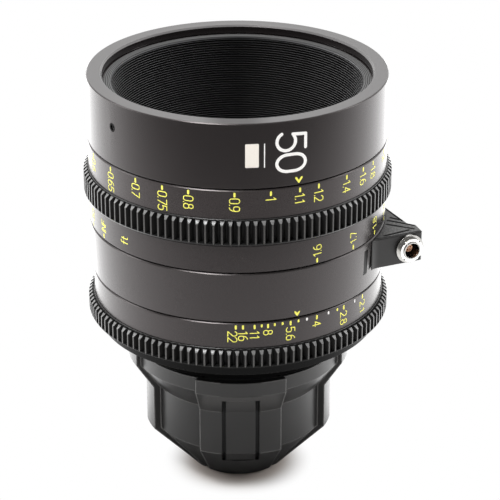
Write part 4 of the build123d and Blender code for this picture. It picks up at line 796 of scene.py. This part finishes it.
# each character: its strokes in a box one high, and its width
numerals = {
    "0": ([bend(0.28, 0.68, 0.28, 0.32, 0, 180, 11) + bend(0.28, 0.32, 0.28, 0.32, 180, 360, 11)
           + [(0.56, 0.68)]], 0.56),
    "1": ([[(0.06, 0.8), (0.26, 1.0)], [(0.26, 1.0), (0.26, 0.0)]], 0.38),
    "2": ([bend(0.28, 0.71, 0.28, 0.29, 165, -25, 10) + [(0.0, 0.0)],
           [(0.0, 0.0), (0.56, 0.0)]], 0.56),
    "3": ([bend(0.26, 0.76, 0.26, 0.24, 150, -90, 10),
           bend(0.26, 0.27, 0.3, 0.27, 90, -150, 11)], 0.56),
    "4": ([[(0.42, 0.0), (0.42, 1.0)], [(0.42, 1.0), (0.0, 0.3)], [(0.0, 0.3), (0.58, 0.3)]],
          0.58),
    "5": ([[(0.52, 1.0), (0.07, 1.0)], [(0.07, 1.0), (0.03, 0.54)],
           [(0.03, 0.54)] + bend(0.26, 0.31, 0.3, 0.31, 112, -150, 12)], 0.56),
    "6": (six, 0.56),
    "7": ([[(0.0, 1.0), (0.56, 1.0)], [(0.56, 1.0), (0.2, 0.0)]], 0.56),
    "8": ([bend(0.28, 0.77, 0.23, 0.23, 0, 360, 17), bend(0.28, 0.27, 0.28, 0.27, 0, 360, 17)],
          0.56),
    "9": ([[(0.56 - x, 1.0 - y) for x, y in stroke] for stroke in six], 0.56),
    ".": ([[(0.04, 0.0), (0.05, 0.03)]], 0.08),
    "m": ([[(0.0, 0.0), (0.0, 0.66)], bend(0.17, 0.46, 0.17, 0.2, 180, 0, 7) + [(0.34, 0.0)],
           bend(0.51, 0.46, 0.17, 0.2, 180, 0, 7) + [(0.68, 0.0)]], 0.68),
    "f": ([bend(0.3, 0.8, 0.16, 0.2, 80, 180, 6) + [(0.14, 0.0)], [(0.0, 0.6), (0.3, 0.6)]], 0.34),
    "t": ([[(0.14, 0.92), (0.14, 0.16)] + bend(0.27, 0.16, 0.13, 0.16, 180, 280, 6),
           [(0.0, 0.6), (0.3, 0.6)]], 0.34),
    "I": ([[(0.03, 0.0), (0.03, 1.0)]], 0.06),
    "N": ([[(0.0, 0.0), (0.0, 1.0)], [(0.0, 1.0), (0.54, 0.0)], [(0.54, 0.0), (0.54, 1.0)]], 0.54),
    "F": ([[(0.0, 0.0), (0.0, 1.0)], [(0.0, 1.0), (0.5, 1.0)], [(0.0, 0.52), (0.42, 0.52)]], 0.5),
}

# The tree sweeps a flat oval of paint along the strokes, thinner at their ends.
lines = Nodes("engraved_lines", Width="Float", Rise="Float", Finish="Material")
curve = lines.add("GeometryNodeMeshToCurve", None, {0: lines.given("Geometry")})
flat_place = lines.add("ShaderNodeVectorMath", {"operation": "MULTIPLY"},
                       {0: lines.add("GeometryNodeInputPosition"), 1: (1.0, 1.0, 0.0)})
outward = lines.add("ShaderNodeVectorMath", {"operation": "NORMALIZE"}, {0: flat_place})
curve = lines.add("GeometryNodeSetCurveNormal", {"mode": "FREE"}, {0: curve, "Normal": outward})
circle = lines.add("GeometryNodeCurvePrimitiveCircle", None, {"Resolution": 10, "Radius": 1.0})
section = lines.add("GeometryNodeTransform", None, {
    0: circle, "Scale": lines.vector(lines.given("Rise"), lines.given("Width"), 1.0)})
lines.close(lines.add("GeometryNodeCurveToMesh", None, {
    0: curve, 1: section, "Scale": lines.add("GeometryNodeInputRadius"), "Fill Caps": True}))

paint_rise = 0.00004
longest_part = 0.0006


class Marks:
    """Strokes laid on a round barrel, gathered before the tree turns them into filled lines."""

    def __init__(self, width):
        self.width = width
        self.verts = []
        self.edges = []
        self.radii = []

    def rounded_end(self, before, end):
        """Three points past the end of a stroke, each with its smaller size."""
        length = hypot(end[0] - before[0], end[1] - before[1])
        way = ((end[0] - before[0]) / length, (end[1] - before[1]) / length)
        points = []
        for turn in (35, 65, 88):
            reach = self.width * sin(radians(turn))
            points.append((end[0] + way[0] * reach, end[1] + way[1] * reach, cos(radians(turn))))
        return points

    def stroke(self, points, radius):
        """One stroke of (azimuth in degrees, height) points; its open ends are rounded."""
        path = []
        for (az1, z1), (az2, z2) in zip(points, points[1:]):
            length = hypot(radians(az2 - az1) * radius, z2 - z1)
            parts = max(1, ceil(length / longest_part))
            path.extend((az1 + (az2 - az1) * part / parts, z1 + (z2 - z1) * part / parts)
                        for part in range(parts))
        path.append(points[-1])
        path = [(radians(az) * radius, z) for az, z in path]
        full = [(x, z, 1.0) for x, z in path]
        if hypot(path[0][0] - path[-1][0], path[0][1] - path[-1][1]) >= 1e-7:
            full = (self.rounded_end(path[1], path[0])[::-1] + full
                    + self.rounded_end(path[-2], path[-1]))
        first = len(self.verts)
        for x, z, size in full:
            self.verts.append((radius * sin(x / radius), -radius * cos(x / radius), z))
            self.radii.append(size)
        self.edges.extend((first + spot, first + spot + 1) for spot in range(len(full) - 1))

    def tick(self, azimuth, start, end, radius):
        """A line along the barrel."""
        self.stroke([(azimuth, start), (azimuth, end)], radius)

    def arrow(self, azimuth, foot, tip, half_turn, radius):
        """An arrow head: two strokes that meet at the tip."""
        self.stroke([(azimuth - half_turn, foot), (azimuth, tip)], radius)
        self.stroke([(azimuth, tip), (azimuth + half_turn, foot)], radius)

    def text(self, words, azimuth, height, radius, size, down=True, spread=0.97, gap=0.15):
        """Numerals that run down the barrel with their tops to the right, or up with tops left."""
        way = 1 if down else -1
        at = 0.0
        for letter in words:
            strokes, width = numerals[letter]
            for shape in strokes:
                placed = []
                for x, y in shape:
                    side = (y - 0.5) * size
                    placed.append((azimuth + way * degrees(side / radius),
                                   height - way * (at + x * spread) * size))
                self.stroke(placed, radius)
            at += width * spread + gap

    def make(self, name, body, slot, finish):
        mesh = bpy.data.meshes.new(name)
        mesh.from_pydata(self.verts, self.edges, [])
        sizes = mesh.attributes.new("radius", "FLOAT", "POINT")
        sizes.data.foreach_set("value", self.radii)
        base = bpy.data.objects.new(name, mesh)
        bpy.context.scene.collection.objects.link(base)
        piece = lines.make(name, base, 50.0, Width=self.width, Rise=paint_rise,
                           Finish=finish.holder)
        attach(piece, body)


def filler_paint(name, colour):
    """Paint wiped into engraving: dense, a little uneven and faintly stained."""
    paint = Finish(name)
    stain = paint.noise(0.0009, 3.0)
    paint.feed("Base Color", paint.blend(stain, colour, shade(colour, 0.82)))
    paint.feed("Roughness", 0.42 + 0.2 * stain)
    paint.bump(stain, 0.00001, 0.5)
    return paint


yellow_paint = filler_paint("yellow_paint", (0.95, 0.92, 0.13))
white_paint = filler_paint("white_paint", (0.93, 0.93, 0.92))
ring_face = 0.0475
tick_start = 0.0009
tick_end = 0.0018
short_tick_end = 0.0013

# Metres: under the front barrel, numbers down the ring.
focus_top = 0.1172
scale_size = 0.00305
metre_marks = {
    "0.5": -111.5, "0.55": -89.0, "0.6": -70.3, "0.65": -54.7, "0.7": -40.3, "0.75": -28.2,
    "0.8": -17.8, "0.9": -0.8, "1": 12.4, "1.1": 23.5, "1.2": 31.3, "1.4": 44.6, "1.6": 54.4,
    "1.8": 62.0, "2": 74.1, "2.5": 86.5, "3": 94.8, "4": 105.1, "6": 115.4, "10": 123.7,
    "INF": 136.0,
}
focus_numbers = Marks(0.00016)
focus_ticks = Marks(0.00034)
for words, azimuth in metre_marks.items():
    focus_ticks.tick(azimuth, focus_top - tick_start, focus_top - tick_end, ring_face)
    focus_numbers.text(words, azimuth, focus_top - 0.0026, ring_face, scale_size, spread=0.9,
                       gap=0.13)
focus_numbers.text("m", -124.0, focus_top - 0.0024, ring_face, scale_size)

# Feet: the lower band reads from the other side, so its numbers run up the barrel.
feet_foot = 0.08995
feet_marks = {
    "INF": -61.5, "30": -73.9, "15": -86.4, "10": -99.2, "8": -108.9, "6": -125.3, "5": -138.6,
    "4": -159.1, "3.5": -174.0, "3": -194.2, "2.5": -223.3, "2.2": -244.9, "2": -268.8,
    "1.9": -281.2, "1.8": 65.1, "1.7": 49.1, "1.6": 31.0,
}
for words, azimuth in feet_marks.items():
    focus_ticks.tick(azimuth, feet_foot + tick_start, feet_foot + tick_end, ring_face)
    focus_numbers.text(words, azimuth, feet_foot + 0.0028, ring_face, scale_size * 0.92,
                       down=False)
focus_numbers.text("ft", -47.1, feet_foot + 0.003, ring_face, scale_size, down=False)
focus_numbers.make("focus_scale_numbers", "focus_ring", "ring_black", yellow_paint)
focus_ticks.make("focus_scale_ticks", "focus_ring", "ring_black", yellow_paint)

# Stops: numbers under the upper edge of the iris ring, short lines between them.
iris_face = 0.0468
iris_top = 0.0727
stop_size = 0.0028
stop_marks = {"22": -0.5, "16": 2.2, "11": 6.6, "8": 11.7, "5.6": 20.6, "4": 31.8, "2.8": 45.3,
              "2.1": 57.5}
iris_numbers = Marks(0.00016)
iris_ticks = Marks(0.00033)
iris_white = Marks(0.00033)
for words, azimuth in stop_marks.items():
    iris_ticks.tick(azimuth, iris_top - tick_start, iris_top - tick_end, iris_face)
    beside_next = -1.3 if words == "22" else 0.0
    iris_numbers.text(words, azimuth + beside_next, iris_top - 0.0028, iris_face, stop_size,
                      gap=0.18)
for azimuth in (9.3, 14.3, 17.4, 23.8, 41.8):
    iris_ticks.tick(azimuth, iris_top - tick_start, iris_top - short_tick_end, iris_face)
for azimuth in (27.4, 37.3, 52.0):
    iris_white.tick(azimuth, iris_top - tick_start, iris_top - short_tick_end, iris_face)
iris_numbers.make("stop_numbers", "iris_ring", "ring_black", yellow_paint)
iris_ticks.make("stop_lines", "iris_ring", "ring_black", yellow_paint)
iris_white.make("stop_lines_white", "iris_ring", "ring_black", white_paint)

# Index marks on the fixed barrels: arrow heads that point at the scales.
middle_face = 0.04692
arrow_half = 0.0009
feet_arrow_half = 0.00115
index_marks = Marks(0.00035)
index_marks.arrow(23.0, front_face - 0.0186, front_face - 0.0199,
                  degrees(arrow_half / ring_face), ring_face)
index_marks.arrow(23.2, iris_top + 0.0026, iris_top + 0.0012,
                  degrees(arrow_half / middle_face), middle_face)
index_marks.arrow(189.7, feet_foot - 0.00315, feet_foot - 0.00145,
                  degrees(feet_arrow_half / ring_face), ring_face - 0.00004)
index_marks.make("index_arrows", "barrel", "barrel_black", yellow_paint)

# Focal length in large thin figures with rounder bends, and the thin line beside the plate.
numerals["0"] = ([bend(0.28, 0.62, 0.28, 0.38, 0, 180, 17, 1.0)
                  + bend(0.28, 0.38, 0.28, 0.38, 180, 360, 17, 1.0) + [(0.56, 0.62)]], 0.56)
numerals["5"] = ([[(0.52, 1.0), (0.07, 1.0)], [(0.07, 1.0), (0.03, 0.55)],
                  [(0.03, 0.55)] + bend(0.26, 0.32, 0.3, 0.32, 118, -150, 19, 1.0)], 0.56)
focal_number = Marks(0.00052)
focal_number.text("50", 20.0, front_face - 0.004, ring_face, 0.0091, spread=1.05)
focal_number.make("focal_length_number", "barrel", "barrel_black", white_paint)
side_line = Marks(0.00017)
side_line.tick(10.0, front_face - 0.0066, front_face - 0.014, ring_face)
side_line.make("number_side_line", "barrel", "barrel_black", white_paint)


# ---------------------------------------------------------------- badge plate and inlay strip
# A small off-white plate let into the front barrel and a dark strip beside the connector;
# both are left plain.
dress(moulded("badge_white", (0.72, 0.69, 0.64), 0.4, grain=0.0004, edge=0.00015), "badge_plate")
inlay_dark = moulded("inlay_dark", (0.0015, 0.0015, 0.0016), 0.3, grain=0.0005, edge=0.00015,
                     specular=0.06)
dress(inlay_dark, "inlay_strip")


# ---------------------------------------------------------------- connector housing
# A wedge machined from aluminium and screwed to the middle barrel, sand blasted and
# anodised, rougher on its top face, which is painted lighter as a painted sheen.
# A flat cover closes its underside.
housing_black = Finish("housing_black", specular_ior_level=0.45)
blast = housing_black.noise(0.0007, 3.0)
housing_cloud = housing_black.noise(0.006, 3.0)
facing = housing_black.node("ShaderNodeNewGeometry", out=1)
facing_up = housing_black.node("ShaderNodeSeparateXYZ", None, {0: facing}, out=2)
on_top = facing_up.step(0.6, 0.95)
above_lines = housing_black.axis("Z").step(0.0886, 0.08885)
top_painted_sheen = housing_black.blend(blast.step(0.35, 0.65), 0.015, 0.085)
side_tone = housing_black.blend(housing_cloud, (0.011, 0.0105, 0.0105), (0.018, 0.017, 0.017))
housing_black.feed("Base Color", housing_black.blend(on_top * above_lines, side_tone, top_painted_sheen))
housing_black.feed("Roughness", 0.4 + 0.12 * (blast - 0.5) + 0.12 * on_top)
housing_black.bump(blast, 0.000012, 0.6, 0.00035)

# The engraved lines and the strip along the front edge are painted black as painted shade.
# Their ends are given as shares of the front face's length: how far back along that face, and how
# far in from it.
face_length = 0.0194
face_x, face_y = 0.9157, 0.4019
corner_x, corner_y = 0.05877, -0.0137
to_corner = corner_x - housing_black.axis("X")
from_corner = housing_black.axis("Y") - corner_y
back_share = (face_x * to_corner - face_y * from_corner) / face_length
in_share = (face_y * to_corner + face_x * from_corner) / face_length
engraved = (((0.135, 1.061), (0.112, 0.511)), ((0.233, 0.682), (0.149, 0.567)),
            ((0.326, 0.599), (0.033, 0.268)), ((0.407, 0.466), (0.103, 0.147)),
            ((0.651, 0.078), (0.196, 0.126)), ((0.95, 0.012), (0.02, 0.012)))
nearest = 1.0
for (back, inward), (end_back, end_inward) in engraved:
    length = hypot(end_back - back, end_inward - inward)
    way_back = (end_back - back) / length
    way_in = (end_inward - inward) / length
    across = abs((back_share - back) * way_in - (in_share - inward) * way_back)
    along = (back_share - back) * way_back + (in_share - inward) * way_in
    past_end = abs(along - length / 2) - length / 2
    nearest = across.maths("MAXIMUM", past_end).maths("MINIMUM", nearest)
housing_black.blacken(on_top * nearest.step(0.03, 0.021), 0.002, 0.6, 0.05)
dress(housing_black, "connector_housing", "housing_cover")


# ---------------------------------------------------------------- data socket
# A round push-pull socket: a nickel plated shell held by a nut, a tan moulded insulator with
# a dark centre post, gilded contacts painted dark as painted shade, and a small circuit board
# behind them.
nickel = turned_metal("nickel", (0.93, 0.92, 0.9), 0.14, 0.000002, 0.00012)
dress(nickel, "socket_nut")
dress(turned_metal("nickel_dull", (0.5, 0.49, 0.47), 0.2, 0.000003, 0.0002), "socket_shell")
insulator_tan = Finish("insulator_tan")
resin = insulator_tan.noise(0.0008, 3.0)
socket_way = (0.9159, 0.4015)
socket_middle = (0.05432, -0.01565, 0.0839)
post_radius = 0.00132
socket_side = (socket_way[0] * (insulator_tan.axis("X") - socket_middle[0])
               + socket_way[1] * (insulator_tan.axis("Y") - socket_middle[1]))
from_middle = apart(socket_side, insulator_tan.axis("Z") - socket_middle[2])
on_post = from_middle.step(post_radius + 0.00004, post_radius - 0.00004)
post_tan = insulator_tan.blend(resin, (0.8, 0.44, 0.28), (0.62, 0.34, 0.2))
insulator_tan.feed("Base Color", insulator_tan.blend(on_post, (0.006, 0.004, 0.003), post_tan))
insulator_tan.feed("Roughness", 0.4 + 0.15 * resin)
insulator_tan.bump(resin, 0.00001, 0.5, 0.0001)
dress(insulator_tan, "socket_insulator")
# The gilded contacts are painted dark as painted shade.
dress(turned_metal("gilt_in_painted_shade", (0.16, 0.09, 0.04), 0.4, 0.000001, 0.00005), "socket_pins")
dress(moulded("board_green", (0.02, 0.09, 0.04), 0.4, grain=0.0006), "socket_board")


# ---------------------------------------------------------------- rear cap
# The bayonet cap is moulded in dark nylon: four lobes with rounded edges, a faint spark
# texture, and lobe edges painted a little paler, partly rubbing wear and partly a painted
# highlight.
groove_offset = 0.00545
groove_foot = 0.012
groove_top = 0.0388
slope_foot = 0.031
mouth_foot = 0.0409
panel_half = 0.0063
first_lobe = radians(1.8)
lobe_pitch = radians(90)
cap_plastic = Finish("cap_plastic", specular_ior_level=0.33)
spark = cap_plastic.noise(0.00035, 2.0)
handling = cap_plastic.noise(0.011, 3.0, seed=5.0)
cap_x, cap_y, cap_z, cap_radius = cap_plastic.round_place()
lobes_round = (cap_y.maths("ARCTAN2", cap_x) - first_lobe) / lobe_pitch + 0.5
beside_lobe = lobes_round.off_middle() * lobe_pitch * cap_radius
cap_tone = cap_plastic.blend(handling, 0.022, 0.03)

# The slope under the mouth band is painted a shade paler on each lobe as a painted sheen;
# the edges beside the lobes' panels are paler still, partly wear and partly a painted
# highlight, and the grooves are painted black as painted shade.
up_slope = (cap_z.step(slope_foot, mouth_foot - 0.0014)
            * cap_z.step(mouth_foot + 0.0004, mouth_foot))
on_slope = up_slope * beside_lobe.step(0.014, 0.011)
slope_tone = cap_plastic.blend(on_slope, cap_tone, 0.05)
off_panel = beside_lobe.step(panel_half, panel_half + 0.0005)
rubbed_and_highlit = 0.7 * cap_plastic.edge_wear_and_highlight(0.0007, 0.995, 0.06) * off_panel
edge_tone = cap_plastic.blend(rubbed_and_highlit, slope_tone, 0.2)
groove_run = (cap_z.step(groove_foot - 0.0003, groove_foot + 0.0003)
              * cap_z.step(groove_top + 0.0002, groove_top - 0.0002))
in_groove = groove_run * abs(beside_lobe - groove_offset).step(0.0009, 0.00045)
cap_plastic.feed("Base Color", cap_plastic.blend(in_groove, edge_tone, 0.002))
cap_plastic.feed("Roughness", 0.34 + 0.12 * (spark - 0.5) + 0.12 * (handling - 0.5))
cap_plastic.bump(spark, 0.000006, 0.6, 0.0006)
dress(cap_plastic, "rear_cap")
